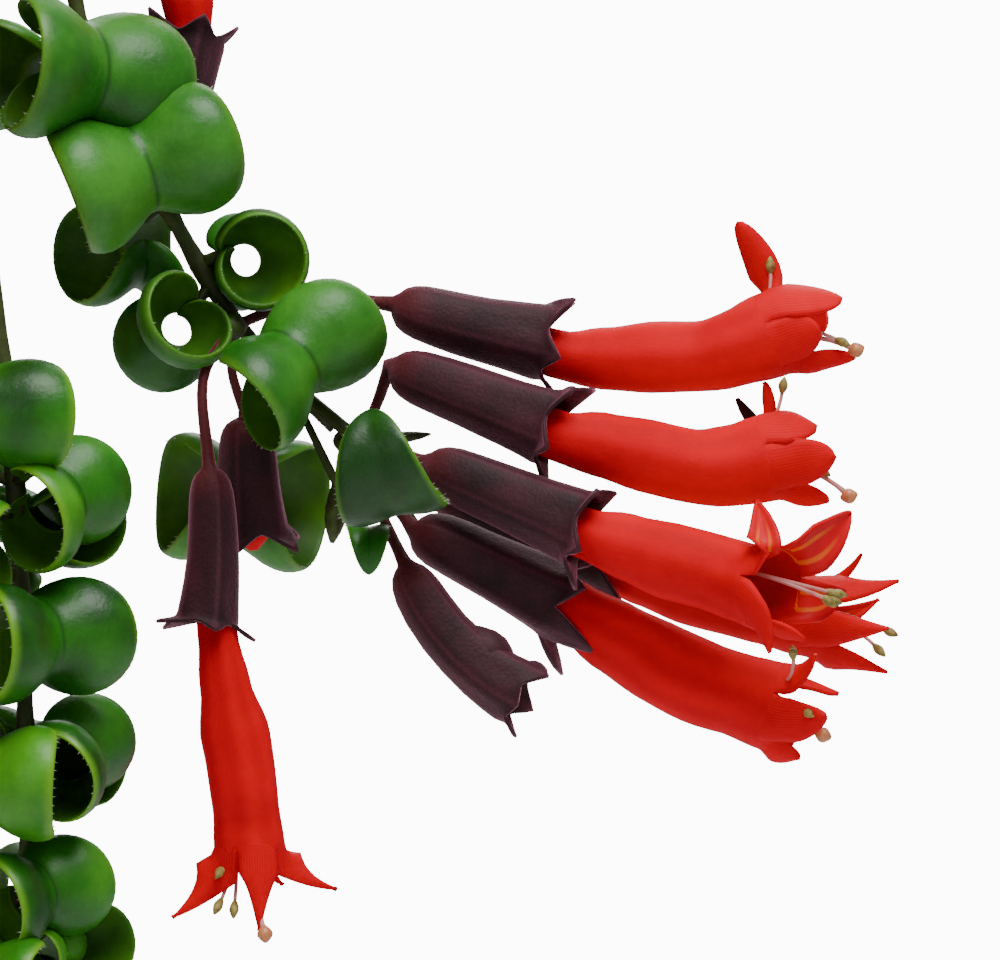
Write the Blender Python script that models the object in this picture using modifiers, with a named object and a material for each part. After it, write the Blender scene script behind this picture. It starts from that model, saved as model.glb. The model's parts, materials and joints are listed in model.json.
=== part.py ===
"""A curly-leaved lipstick plant in a hanging basket: pot, saucer, hanger, soil, stems, leaves, flowers.

The origin is at the top of the inside of the hook, where the basket hangs. Z is up.
The hero stem arches over the rim towards +X, and its flowers point that way.
"""

import math
from collections import namedtuple

import bmesh
import bpy
from mathutils import Vector

MM = 0.001

# Holder
RIM_Z = -290 * MM
RIM_RADIUS = 78 * MM
FLANGE_RADIUS = 84.5 * MM
FLANGE_THICKNESS = 2.4 * MM
POT_HEIGHT = 105 * MM
POT_BASE_RADIUS = 51 * MM
POT_WALL = 1.8 * MM
FOOT_BEAD = 1.6 * MM
FOOT_BEAD_HEIGHT = 2 * MM
DRAIN_RADIUS = 6 * MM
SAUCER_FLOOR = 2 * MM
SAUCER_DEPTH = 13 * MM
SAUCER_RADIUS = 59 * MM
SAUCER_WALL = 1.8 * MM
SAUCER_SLOPE = 0.35
CLIP_AZIMUTHS = (14, 134, 254)
CLIP_THICKNESS = 1.4 * MM
CLIP_LIP = 1.2 * MM
CLIP_HEAD = 1.6 * MM
CLIP_HALF_WIDTH = 4 * MM
SOIL_BELOW_RIM = 12 * MM
SOIL_CROWN = 3 * MM
HOLE_DEPTH = 9 * MM
HOLDER_SIDES = 28
GAP = 0.35 * MM

# Hanger
STRAND_AZIMUTHS = (194, 74, 314)
STRAND_RADIUS = 1.0 * MM
STRAND_HOLE_RADIUS = 2.4 * MM
STRAND_HOLE_AT = 81.2 * MM
HOOK_WIRE_RADIUS = 1.6 * MM
HOOK_INNER_RADIUS = 14 * MM
EYE_RADIUS = 9.5 * MM
EYE_CENTRE_Z = -58 * MM
EYE_SPACING = 3.6 * MM
EYE_NECK = 3 * MM
HOOK_BEND = (205, -60)
HOOK_SHANK_OFFSET = 3.4 * MM
STRAND_TAIL = 9 * MM
# The strand's bent toe below the rim, as steps out and up from the hole
STRAND_TOE = ((2.2, -1.0), (5.7, 0.2), (6.2, 6.2))

# Picture of the hero stem: real size of a pixel, and where the picture's corner lies
PIXEL = 0.13 * MM
PICTURE_LEFT = 80 * MM
PICTURE_TOP = RIM_Z - 25 * MM
PICTURE_CENTRE = (500, 480)
VIEW_DISTANCE = 1000 * MM

# Plant
STEM_RADIUS = 1.6 * MM
STEM_TIP_RADIUS = 1.1 * MM
STEM_POINTS = 10
SHELL = 1.1 * MM
LEAF_WAIST = 4.2 * MM
LEAF_FLARE = 3.7 * MM
LEAF_HALF_WIDTH = 11.5 * MM
LEAF_TURN = math.radians(325)
LEAF_START = math.radians(-48)
LEAF_SPIRAL = 0.24
LEAF_BANDS = 5
LEAF_REACH = 6.6 * MM
LEAF_DROP = 2.4 * MM
LEAF_WANDER = 12
LEAF_TIP_SHRINK = 0.32
LEAF_SHRINK_FROM = 0.55
LEAF_CAPSULE_INSET = 3.4 * MM
PARTNER_SIZE = 0.92
INTERNODE = 23 * MM
CROWN_INTERNODE = 15 * MM
TRAIL_RADIUS = 98 * MM
TRAIL_SWAY = 2.5
TRAIL_RIPPLE = 2 * MM
ROUTE_STEPS = 60
LEAF_ROOT_STEPS = 58
CALYX_LENGTH = 22 * MM
STALK_RADIUS = 0.75 * MM
CALYX_SHOULDER = 2.9 * MM
CALYX_TOP = 4.3 * MM
CALYX_INSIDE = (3.75 * MM, 2.6 * MM)
TOOTH_AHEAD = 2.2 * MM
TOOTH_ASIDE = 6.3 * MM
TOOTH_NOTCH_BACK = 0.6 * MM
TOOTH_NOTCH_ASIDE = 4.4 * MM
COROLLA_LENGTH = 28 * MM
COROLLA_WIDTHS = (2.1 * MM, 3.1 * MM, 4.0 * MM, 5.2 * MM)
COROLLA_INSIDE = (4.2 * MM, 2.6 * MM)
COROLLA_SEAT = 0.54
LOBE_NOTCH_AHEAD = 3.0 * MM
LOBE_NOTCH_ASIDE = 5.0 * MM
# Each lobe of the corolla, lowest first: how far its tip reaches ahead and aside
LOBES = (
    (10.5 * MM, 4.5 * MM),
    (4.5 * MM, 9.5 * MM),
    (12.0 * MM, 4.6 * MM),
    (12.0 * MM, 4.6 * MM),
    (4.5 * MM, 9.5 * MM),
)
STALK_CLEARANCE = 1.2 * MM
CALYX_CLEARANCE = 5.4 * MM
TUBE_CLEARANCE = 6.0 * MM
LOBE_CLEARANCE = 9.0 * MM
LOBE_CLEARANCE_LENGTH = 11 * MM
SPRAY_STALK = 7
SPRAY_BEND = 12
KNOT_RADIUS = 2.0 * MM
CROWN_MARK = "_crown"
ARCH_FROM = 0.2
ARCH_TO = {"stem_front": 0.3, "stem_left": 0.42}

GREEN = (0.045, 0.19, 0.03)
PURPLE = (0.06, 0.018, 0.028)
RED = (0.78, 0.004, 0.008)
CLAY = (0.36, 0.13, 0.07)
EARTH = (0.035, 0.022, 0.014)
ZINC = (0.55, 0.56, 0.57)

Keepout = namedtuple("Keepout", "owner start end radius")
Leaf = namedtuple("Leaf", "root centre up out size")
keepouts = []


def clear_scene():
    for obj in list(bpy.data.objects):
        bpy.data.objects.remove(obj, do_unlink=True)


def new_collection(name):
    made = bpy.data.collections.new(name)
    bpy.context.scene.collection.children.link(made)
    return made


def material(name, colour, roughness, metallic=0.0):
    made = bpy.data.materials.new(name)
    made.use_nodes = True
    shader = made.node_tree.nodes["Principled BSDF"]
    shader.inputs["Base Color"].default_value = (*colour, 1.0)
    shader.inputs["Roughness"].default_value = roughness
    shader.inputs["Metallic"].default_value = metallic
    return made


def mesh_object(name, bm, look, where):
    """The bmesh as an object with its normals facing out."""
    bmesh.ops.recalc_face_normals(bm, faces=bm.faces)
    mesh = bpy.data.meshes.new(name)
    bm.to_mesh(mesh)
    bm.free()
    obj = bpy.data.objects.new(name, mesh)
    obj.data.materials.append(look)
    where.objects.link(obj)
    return obj


def turned(name, profile, look, where):
    """A profile of (radius, height) points, turned round the Z axis."""
    mesh = bpy.data.meshes.new(name)
    points = [(r, 0, z) for r, z in profile]
    closed = profile[0][0] > 0
    edges = [(i, i + 1) for i in range(len(points) - 1)]
    if closed:
        edges.append((len(points) - 1, 0))
    mesh.from_pydata(points, edges, [])
    obj = bpy.data.objects.new(name, mesh)
    where.objects.link(obj)
    screw = obj.modifiers.new("Turn", "SCREW")
    screw.axis = "Z"
    screw.steps = HOLDER_SIDES
    screw.render_steps = HOLDER_SIDES
    screw.use_merge_vertices = True
    screw.merge_threshold = 0.00001
    obj.data.materials.append(look)
    return obj


def applied(obj):
    """The object with its modifiers applied, as a plain mesh."""
    graph = bpy.context.evaluated_depsgraph_get()
    mesh = bpy.data.meshes.new_from_object(obj.evaluated_get(graph))
    obj.modifiers.clear()
    old = obj.data
    obj.data = mesh
    bpy.data.meshes.remove(old)
    return obj


def smooth_route(points, count):
    """Evenly spaced points on a smooth curve through the route's own points."""
    ends = [points[0] * 2 - points[1], *points, points[-1] * 2 - points[-2]]
    fine = []
    steps = 12
    for a, b, c, d in zip(ends, ends[1:], ends[2:], ends[3:]):
        for step in range(steps):
            t = step / steps
            fine.append(
                0.5 * (2 * b + (c - a) * t + (2 * a - 5 * b + 4 * c - d) * t**2)
                + 0.5 * (3 * b - a - 3 * c + d) * t**3
            )
    fine.append(points[-1].copy())
    return [along(fine, i / (count - 1)) for i in range(count)]


def route_length(points):
    return sum((b - a).length for a, b in zip(points, points[1:]))


def along(points, share):
    """The point at this share of the route's length."""
    left = share * route_length(points)
    for a, b in zip(points, points[1:]):
        step = (b - a).length
        if left <= step:
            return a.lerp(b, left / step) if step else a.copy()
        left -= step
    return points[-1].copy()


def direction(points, share):
    return (along(points, min(share + 0.03, 1)) - along(points, max(share - 0.03, 0))).normalized()


def tube(name, points, radii, look, where, bevel_resolution=0):
    """A wire or stem along the points, made a closed mesh."""
    curve = bpy.data.curves.new(name, "CURVE")
    curve.dimensions = "3D"
    curve.bevel_depth = 1.0
    curve.bevel_resolution = bevel_resolution
    curve.use_fill_caps = True
    spline = curve.splines.new("POLY")
    spline.points.add(len(points) - 1)
    for place, point, radius in zip(spline.points, points, radii):
        place.co = (*point, 1)
        place.radius = radius
    route = bpy.data.objects.new(name + "_route", curve)
    where.objects.link(route)
    bpy.context.view_layer.update()
    graph = bpy.context.evaluated_depsgraph_get()
    bm = bmesh.new()
    made = bpy.data.meshes.new_from_object(route.evaluated_get(graph))
    bm.from_mesh(made)
    bmesh.ops.remove_doubles(bm, verts=bm.verts, dist=0.00001)
    bpy.data.objects.remove(route)
    bpy.data.meshes.remove(made)
    return mesh_object(name, bm, look, where)


def main_body(obj):
    """Drops loose scraps, and fills any hollow that the union sealed."""
    bm = bmesh.new()
    bm.from_mesh(obj.data)
    left = set(bm.verts)
    shells = []
    while left:
        edge = [left.pop()]
        shell = set(edge)
        while edge:
            for link in edge.pop().link_edges:
                for vert in link.verts:
                    if vert not in shell:
                        shell.add(vert)
                        edge.append(vert)
        left -= shell
        shells.append(shell)
    largest = max(shells, key=len)
    loose = [vert for shell in shells if shell is not largest for vert in shell]
    bmesh.ops.delete(bm, geom=loose, context="VERTS")
    bm.to_mesh(obj.data)
    bm.free()


def joined(base, pieces):
    """One body from the base and the pieces that grow from it."""
    if not pieces:
        return base
    group = new_collection(base.name + "_pieces")
    for piece in pieces:
        for owner in list(piece.users_collection):
            owner.objects.unlink(piece)
        group.objects.link(piece)
    union = base.modifiers.new("Grow together", "BOOLEAN")
    union.operation = "UNION"
    union.operand_type = "COLLECTION"
    union.collection = group
    union.solver = "EXACT"
    applied(base)
    for piece in list(group.objects):
        bpy.data.objects.remove(piece)
    bpy.data.collections.remove(group)
    main_body(base)
    return base


def polar(azimuth, radius, height):
    turn = math.radians(azimuth)
    return Vector((radius * math.cos(turn), radius * math.sin(turn), height))


def picture(px, py, depth=0.0):
    """A point of the picture in the basket's frame. Depth in millimetres is away from the viewer."""
    wide, high = PICTURE_CENTRE
    grow = 1 + depth * MM / VIEW_DISTANCE
    across = (px - wide) * PIXEL * grow
    down = (py - high) * PIXEL * grow
    return Vector((PICTURE_LEFT + wide * PIXEL + across, depth * MM, PICTURE_TOP - high * PIXEL - down))


def pot_radius(height):
    """The pot's outer radius at this height."""
    share = (height - (RIM_Z - POT_HEIGHT)) / POT_HEIGHT
    return POT_BASE_RADIUS + (RIM_RADIUS - POT_BASE_RADIUS) * min(max(share, 0), 1)


def segment_gap(a, b, c, d):
    """The least distance between the segments a-b and c-d."""
    u, v, w = b - a, d - c, a - c
    uu, uv, vv, uw, vw = u.dot(u), u.dot(v), v.dot(v), u.dot(w), v.dot(w)
    det = uu * vv - uv * uv
    s = min(max((uv * vw - vv * uw) / det, 0), 1) if det > 1e-12 else 0.0
    t = (uv * s + vw) / vv if vv > 1e-12 else 0.0
    t = min(max(t, 0), 1)
    s = min(max((uv * t - uw) / uu, 0), 1) if uu > 1e-12 else 0.0
    return ((a + u * s) - (c + v * t)).length


def keep_clear(owner, points, radius):
    for a, b in zip(points, points[1:]):
        keepouts.append(Keepout(owner, a, b, radius))


def is_clear(owner, start, end, radius):
    """Whether this capsule misses the pot and all that other pieces have taken."""
    for point in (start, (start + end) / 2, end):
        flat = math.hypot(point.x, point.y)
        height = point.z
        if height < RIM_Z + radius + GAP and flat < pot_radius(height) + radius + GAP:
            return False
        if abs(height - RIM_Z) < radius + GAP and flat < FLANGE_RADIUS + radius + GAP:
            return False
    for taken in keepouts:
        if taken.owner == owner:
            continue
        if segment_gap(start, end, taken.start, taken.end) < radius + taken.radius + GAP:
            return False
    return True


# Holder


def make_pot(where, cutters, look):
    base_z = RIM_Z - POT_HEIGHT
    floor_z = base_z + POT_WALL
    profile = [
        (FLANGE_RADIUS, RIM_Z),
        (FLANGE_RADIUS, RIM_Z - FLANGE_THICKNESS),
        (RIM_RADIUS, RIM_Z - FLANGE_THICKNESS),
        (POT_BASE_RADIUS, base_z + 2 * FOOT_BEAD_HEIGHT),
        (POT_BASE_RADIUS + FOOT_BEAD, base_z + FOOT_BEAD_HEIGHT),
        (POT_BASE_RADIUS + FOOT_BEAD, base_z),
        (DRAIN_RADIUS, base_z),
        (DRAIN_RADIUS, floor_z),
        (POT_BASE_RADIUS - POT_WALL, floor_z),
        (RIM_RADIUS - POT_WALL, RIM_Z - FLANGE_THICKNESS),
        (RIM_RADIUS - POT_WALL, RIM_Z),
    ]
    pot = turned("pot", profile, look, where)
    for azimuth in STRAND_AZIMUTHS:
        centre = polar(azimuth, STRAND_HOLE_AT, RIM_Z)
        bpy.ops.mesh.primitive_cylinder_add(
            vertices=8, radius=STRAND_HOLE_RADIUS, depth=4 * FLANGE_THICKNESS, location=centre
        )
        hole = as_cutter(f"rim_hole_{azimuth}", cutters)
        cut = pot.modifiers.new("Rim hole", "BOOLEAN")
        cut.operation = "DIFFERENCE"
        cut.object = hole
    return pot


def as_cutter(name, cutters):
    """Moves the primitive just added to the cutters, out of the model."""
    cutter = bpy.context.object
    cutter.name = name
    for owner in list(cutter.users_collection):
        owner.objects.unlink(cutter)
    cutters.objects.link(cutter)
    cutter.hide_render = True
    cutter.display_type = "WIRE"
    return cutter


def make_saucer(where, look):
    top = RIM_Z - POT_HEIGHT - GAP
    bottom = top - SAUCER_FLOOR
    floor_radius = SAUCER_RADIUS - SAUCER_DEPTH * SAUCER_SLOPE
    profile = [
        (0, top),
        (floor_radius - SAUCER_WALL, top),
        (SAUCER_RADIUS - SAUCER_WALL, bottom + SAUCER_DEPTH),
        (SAUCER_RADIUS, bottom + SAUCER_DEPTH),
        (floor_radius, bottom),
        (0, bottom),
    ]
    saucer = applied(turned("saucer", profile, look, where))
    return joined(saucer, [snap_clip(azimuth, top, look, where) for azimuth in CLIP_AZIMUTHS])


def snap_clip(azimuth, floor_z, look, where):
    """A post on the saucer's floor with a lip over the pot's foot bead."""
    inner = POT_BASE_RADIUS + FOOT_BEAD + GAP
    lip_low = floor_z + GAP + 2 * FOOT_BEAD_HEIGHT + GAP
    outline = [
        (inner, floor_z - SAUCER_FLOOR / 2),
        (inner + CLIP_THICKNESS, floor_z - SAUCER_FLOOR / 2),
        (inner + CLIP_THICKNESS, lip_low + CLIP_HEAD),
        (inner - CLIP_LIP, lip_low + CLIP_HEAD / 2),
        (inner - CLIP_LIP, lip_low),
        (inner, lip_low - CLIP_LIP),
    ]
    turn = math.radians(azimuth)
    side = Vector((-math.sin(turn), math.cos(turn), 0)) * CLIP_HALF_WIDTH
    bm = bmesh.new()
    rows = []
    for sign in (-1, 1):
        rows.append([bm.verts.new(polar(azimuth, r, z) + side * sign) for r, z in outline])
    bm.faces.new(rows[0])
    bm.faces.new(rows[1][::-1])
    for i in range(len(outline)):
        j = (i + 1) % len(outline)
        bm.faces.new((rows[0][i], rows[0][j], rows[1][j], rows[1][i]))
    return mesh_object(f"clip_{azimuth}", bm, look, where)


def make_soil(where, cutters, look, roots):
    base_z = RIM_Z - POT_HEIGHT + POT_WALL + GAP
    top_z = RIM_Z - SOIL_BELOW_RIM
    slope = (RIM_RADIUS - POT_BASE_RADIUS) / POT_HEIGHT
    low = POT_BASE_RADIUS - POT_WALL - GAP * 1.5
    high = low + slope * (top_z - base_z)
    profile = [
        (0, top_z + SOIL_CROWN),
        (high, top_z),
        (low, base_z),
        (0, base_z),
    ]
    soil = turned("soil", profile, look, where)
    for number, root in enumerate(roots):
        bpy.ops.mesh.primitive_cylinder_add(
            vertices=6, radius=STEM_RADIUS + 2 * GAP, depth=2 * HOLE_DEPTH, location=root
        )
        hole = as_cutter(f"stem_hole_{number:02d}", cutters)
        cut = soil.modifiers.new("Stem hole", "BOOLEAN")
        cut.operation = "DIFFERENCE"
        cut.object = hole
    return soil


def arc(centre, radius, start, end, count, across, up):
    """Points on an arc in the plane of the two unit vectors, angles in degrees."""
    made = []
    for i in range(count):
        turn = math.radians(start + (end - start) * i / (count - 1))
        made.append(centre + across * (radius * math.cos(turn)) + up * (radius * math.sin(turn)))
    return made


def make_hook(where, look):
    """An open hook above a closed eye, bent from one wire, in the XZ plane."""
    across, up = Vector((1, 0, 0)), Vector((0, 0, 1))
    line = HOOK_INNER_RADIUS + HOOK_WIRE_RADIUS
    top = Vector((0, 0, -HOOK_INNER_RADIUS))
    bend = arc(top, line, *HOOK_BEND, 12, across, up)
    eye = Vector((0, 0, EYE_CENTRE_Z))
    neck = Vector((0, 0, EYE_CENTRE_Z + EYE_RADIUS + EYE_NECK))
    shank = [Vector((HOOK_SHANK_OFFSET, 0, -HOOK_INNER_RADIUS - line * 1.02)), neck, eye + up * EYE_RADIUS]
    wire = tube(
        "hook",
        [*bend, *shank],
        [HOOK_WIRE_RADIUS] * (len(bend) + len(shank)),
        look,
        where,
        bevel_resolution=1,
    )
    bpy.ops.mesh.primitive_torus_add(
        major_segments=16,
        minor_segments=6,
        major_radius=EYE_RADIUS,
        minor_radius=HOOK_WIRE_RADIUS,
        location=eye,
        rotation=(math.pi / 2, 0, 0),
    )
    closed_eye = bpy.context.object
    return joined(wire, [closed_eye])


def make_strand(number, azimuth, where, look):
    """A wire hooked over the eye above and through the rim's hole below."""
    turn = math.radians(azimuth)
    out = Vector((math.cos(turn), math.sin(turn), 0))
    up = Vector((0, 0, 1))
    slot = (number - 1) * EYE_SPACING
    drop = EYE_RADIUS - math.sqrt(EYE_RADIUS**2 - slot**2)
    saddle = Vector((slot, 0, EYE_CENTRE_Z - EYE_RADIUS + drop))
    front = Vector((0, 1 if out.y > 0 else -1, 0))
    bend = HOOK_WIRE_RADIUS + STRAND_RADIUS + GAP
    over = arc(saddle, bend, 180, 0, 7, front, up)
    tail = over[0] - up * STRAND_TAIL
    foot = polar(azimuth, STRAND_HOLE_AT, RIM_Z - FLANGE_THICKNESS - STRAND_RADIUS - GAP)
    toe = [foot + out * aside * MM + up * rise * MM for aside, rise in STRAND_TOE]
    above = foot + up * 9 * MM - out * 0.9 * MM
    start = over[-1] - up * 3 * MM
    points = [tail, *over, start, above, foot, *toe]
    radii = [STRAND_RADIUS] * len(points)
    return tube(f"strand_{number + 1}", points, radii, look, where, bevel_resolution=1)


# Leaves


def leaf_frame(leaf):
    up = leaf.up.normalized()
    out = (leaf.out - up * leaf.out.dot(up)).normalized()
    return up, out, out.cross(up)


def leaf_width(share):
    """Half the blade's width at this share of its length, as a share of the widest."""
    return math.sin(math.pi * (0.13 + 0.87 * share) ** 0.86) ** 0.75 if share < 1 else 0.0


def make_leaf(name, leaf, look, where):
    """A thick blade rolled back into a ring: narrow at the midrib's waist, flared at the margins."""
    up, out, axis = leaf_frame(leaf)
    size = leaf.size
    bm = bmesh.new()
    root = bm.verts.new(leaf.root)
    sections = []
    for band in range(LEAF_BANDS):
        share = band / LEAF_BANDS
        turn = LEAF_START + LEAF_TURN * share
        ray = up * math.cos(turn) + out * math.sin(turn)
        waist = LEAF_WAIST * size * (1 - LEAF_SPIRAL * share)
        reach = leaf_width(share)
        half = LEAF_HALF_WIDTH * size * reach
        edge = waist + LEAF_FLARE * size * reach**1.6
        sections.append(
            [
                bm.verts.new(leaf.centre + ray * edge - axis * half),
                bm.verts.new(leaf.centre + ray * (waist + SHELL / 2)),
                bm.verts.new(leaf.centre + ray * edge + axis * half),
                bm.verts.new(leaf.centre + ray * (waist - SHELL / 2)),
            ]
        )
    turn = LEAF_START + LEAF_TURN
    tip_ray = up * math.cos(turn) + out * math.sin(turn)
    tip = bm.verts.new(leaf.centre + tip_ray * LEAF_WAIST * size * (1 - LEAF_SPIRAL))
    for i in range(4):
        j = (i + 1) % 4
        bm.faces.new((root, sections[0][i], sections[0][j]))
        bm.faces.new((tip, sections[-1][j], sections[-1][i]))
    for near, far in zip(sections, sections[1:]):
        for margin in (0, 2):
            for middle in (1, 3):
                bm.faces.new((near[margin], near[middle], far[middle]))
                bm.faces.new((near[margin], far[middle], far[margin]))
    return mesh_object(name, bm, look, where)


def leaf_capsule(leaf):
    up, out, axis = leaf_frame(leaf)
    reach = axis * (LEAF_HALF_WIDTH - LEAF_CAPSULE_INSET) * leaf.size
    return leaf.centre - reach, leaf.centre + reach, (LEAF_WAIST + LEAF_FLARE + SHELL) * leaf.size


def pair_leaf(root, growth, out, size):
    """A leaf that leaves the stem outwards and rolls back under itself."""
    up = Vector((0, 0, 1)) - growth * 0.9
    up = (up - out * up.dot(out)).normalized()
    centre = root + out * LEAF_REACH * size - up * LEAF_DROP * size
    return Leaf(root, centre, up, out, size)


def stem_leaves(owner, route, first, size, spacing=INTERNODE, last=0.97, turned_by=0.0):
    """Opposite pairs, each pair at right angles to the one before, left out where they would touch."""
    length = route_length(route)
    made = []
    share = first
    number = 0
    while share <= last:
        root = along(route, share)
        growth = direction(route, share)
        side = growth.cross(Vector((0, 0, 1)))
        if side.length < 0.35:
            side = Vector((-root.y, root.x, 0))
        side = (side - growth * side.dot(growth)).normalized()
        front = growth.cross(side).normalized()
        angle = math.radians(turned_by + 90 * number + LEAF_WANDER * math.sin(2.1 * number + len(made)))
        across = side * math.cos(angle) + front * math.sin(angle)
        past = max(0.0, share - LEAF_SHRINK_FROM) / (1 - LEAF_SHRINK_FROM)
        scale = size * (1.0 - LEAF_TIP_SHRINK * past)
        for sign in (1, -1):
            leaf = pair_leaf(root, growth, across * sign, scale)
            start, end, radius = leaf_capsule(leaf)
            if is_clear(owner, start, end, radius):
                made.append(leaf)
        share += spacing * (1 - 0.25 * share) / length
        number += 1
    for leaf in made:
        start, end, radius = leaf_capsule(leaf)
        keep_clear(owner, [start, end], radius)
    return made


def make_leafy_stem(name, route, leaves, look, where):
    radii = [STEM_RADIUS + (STEM_TIP_RADIUS - STEM_RADIUS) * i / (len(route) - 1) for i in range(len(route))]
    stem = tube(name, route, radii, look, where)
    blades = [make_leaf(f"{name}_leaf_{i:02d}", leaf, look, where) for i, leaf in enumerate(leaves)]
    return joined(stem, blades)


# Flowers


def ring_frames(points, dorsal):
    """At each point of a flower's line: the point, its forward, dorsal and sideways directions."""
    frames = []
    for i, point in enumerate(points):
        ahead = points[min(i + 1, len(points) - 1)] - points[max(i - 1, 0)]
        forward = ahead.normalized()
        back = (dorsal - forward * dorsal.dot(forward)).normalized()
        frames.append((point, forward, back, forward.cross(back)))
    return frames


def corner_ray(frame, number, half=0.0):
    """The direction of a flower's corner: number 0 is the lowest of five."""
    angle = math.radians(-90 + 72 * (number + half))
    return frame[3] * math.cos(angle) + frame[2] * math.sin(angle)


def pointed_cup(name, outer, mouth, inner, look, where):
    """A five-sided cup. outer and inner are (frame, radius), mouth is ten points, tips at even places."""
    bm = bmesh.new()
    outer_rings = [[bm.verts.new(f[0] + corner_ray(f, k) * r) for k in range(5)] for f, r in outer]
    inner_rings = [[bm.verts.new(f[0] + corner_ray(f, k) * r) for k in range(5)] for f, r in inner]
    lip = [bm.verts.new(point) for point in mouth]
    bm.faces.new(outer_rings[0])
    bm.faces.new(inner_rings[-1])
    for rings in (outer_rings, inner_rings):
        for near, far in zip(rings, rings[1:]):
            for k in range(5):
                m = (k + 1) % 5
                bm.faces.new((near[k], near[m], far[m], far[k]))
    for ring in (outer_rings[-1], inner_rings[0]):
        for k in range(5):
            m = (k + 1) % 5
            bm.faces.new((ring[k], ring[m], lip[2 * k + 1]))
            bm.faces.new((ring[k], lip[2 * k + 1], lip[2 * k]))
            bm.faces.new((ring[m], lip[2 * m], lip[2 * k + 1]))
    bmesh.ops.triangulate(bm, faces=bm.faces)
    return mesh_object(name, bm, look, where)


def make_calyx(name, stalk, mouth, dorsal, size, look, where):
    """A flower stalk that widens into a five-angled cup with flared teeth. stalk ends at the neck."""
    neck = stalk[-1]
    steps = [*stalk, neck.lerp(mouth, 0.16), neck.lerp(mouth, 0.5), neck.lerp(mouth, 0.9), mouth]
    frames = ring_frames(steps, dorsal)
    shoulder, middle, top, lip = frames[-4:]
    outer = [(f, STALK_RADIUS * size) for f in frames[: len(stalk)]]
    outer += [(shoulder, CALYX_SHOULDER * size), (top, CALYX_TOP * size)]
    points = []
    for k in range(5):
        points.append(lip[0] + lip[1] * TOOTH_AHEAD * size + corner_ray(lip, k) * TOOTH_ASIDE * size)
        notch = corner_ray(lip, k, 0.5) * TOOTH_NOTCH_ASIDE * size
        points.append(lip[0] - lip[1] * TOOTH_NOTCH_BACK * size + notch)
    inner = [(top, CALYX_INSIDE[0] * size), (middle, CALYX_INSIDE[1] * size)]
    return pointed_cup(name, outer, points, inner, look, where)


def make_corolla(name, line, dorsal, size, look, where):
    """A tube that widens to a throat with five lobes, the lowest first. line: base, mouth, middle, throat."""
    frames = ring_frames(line, dorsal)
    outer = [(f, width * size) for f, width in zip(frames, COROLLA_WIDTHS)]
    end = frames[-1]
    points = []
    for k, (ahead, aside) in enumerate(LOBES):
        points.append(end[0] + end[1] * ahead * size + corner_ray(end, k) * aside * size)
        notch = corner_ray(end, k, 0.5) * LOBE_NOTCH_ASIDE * size
        points.append(end[0] + end[1] * LOBE_NOTCH_AHEAD * size + notch)
    inner = [(end, COROLLA_INSIDE[0] * size), (frames[-2], COROLLA_INSIDE[1] * size)]
    return pointed_cup(name, outer, points, inner, look, where)


def seat_of(neck, mouth):
    """Where the corolla's base sits in the calyx."""
    return neck.lerp(mouth, COROLLA_SEAT)


# The hero stem, placed as in the picture

Bloom = namedtuple("Bloom", "name stalk mouth line size")
Bunch = namedtuple("Bunch", "name at aside blooms")

# Each leaf: where its roll is centred in the picture, its depth, the way it points, and its size
FrontLeaf = namedtuple("FrontLeaf", "name at depth up out size")

FRONT_LEAVES = (
    FrontLeaf("upper_facing", (98, 78), -9, (0.10, 0.0, 1.0), (0.15, -1.0, 0.1), 1.2),
    FrontLeaf("upper_left", (38, 84), 2, (0.0, 0.2, 1.0), (-1.0, 0.1, 0.2), 1.0),
    FrontLeaf("second_facing", (150, 172), -8, (-0.42, -0.15, 1.0), (0.3, -1.0, 0.1), 1.18),
    FrontLeaf("second_behind", (116, 250), 7, (-0.2, 0.3, 1.0), (-0.5, 1.0, 0.0), 0.95),
    FrontLeaf("ring_right", (254, 262), 0, (-0.55, 0.0, 0.85), (0.85, 0.0, 0.5), 0.88),
    FrontLeaf("ring_left", (172, 330), -2, (-0.25, 0.0, 1.0), (-1.0, 0.0, -0.3), 0.9),
    FrontLeaf("third_facing", (306, 366), -10, (0.55, -0.35, 0.95), (0.0, -1.0, -0.1), 1.0),
    FrontLeaf("third_behind", (236, 498), 15, (-0.25, 0.1, 1.0), (0.05, 1.0, 0.15), 1.15),
    FrontLeaf("hanging", (385, 455), -12.5, (1.0, -0.25, 0.1), (0.1, -1.0, 0.0), 0.92),
    FrontLeaf("tip_small", (368, 560), -3, (1.0, 0.0, 0.1), (0.0, -0.5, -1.0), 0.5),
)

LEFT_AZIMUTH = -33
LEFT_DEPTH = -48
LEFT_LEAVES = (
    FrontLeaf("first", (-8, 415), LEFT_DEPTH - 8, (0.1, -0.2, 1.0), (0.3, -1.0, 0.0), 0.95),
    FrontLeaf("second", (62, 505), LEFT_DEPTH - 2, (0.1, -0.4, 1.0), (1.0, -0.5, 0.0), 0.95),
    FrontLeaf("third", (-22, 545), LEFT_DEPTH - 6, (0.0, -0.3, 1.0), (-0.7, -1.0, 0.0), 0.85),
    FrontLeaf("fourth", (52, 642), LEFT_DEPTH - 6, (0.2, -0.3, 1.0), (0.7, -0.7, 0.0), 1.0),
    FrontLeaf("fifth", (66, 758), LEFT_DEPTH - 1, (0.1, -0.3, 1.0), (1.0, -0.2, 0.0), 0.85),
    FrontLeaf("sixth", (-12, 782), LEFT_DEPTH - 8, (0.0, -0.2, 1.0), (-0.3, -1.0, 0.0), 0.95),
    FrontLeaf("seventh", (48, 892), LEFT_DEPTH - 4, (0.1, -0.3, 1.0), (0.8, -0.6, 0.0), 0.88),
    FrontLeaf("eighth", (-6, 980), LEFT_DEPTH - 8, (0.0, -0.3, 1.0), (-0.6, -0.8, 0.0), 0.85),
)


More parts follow.
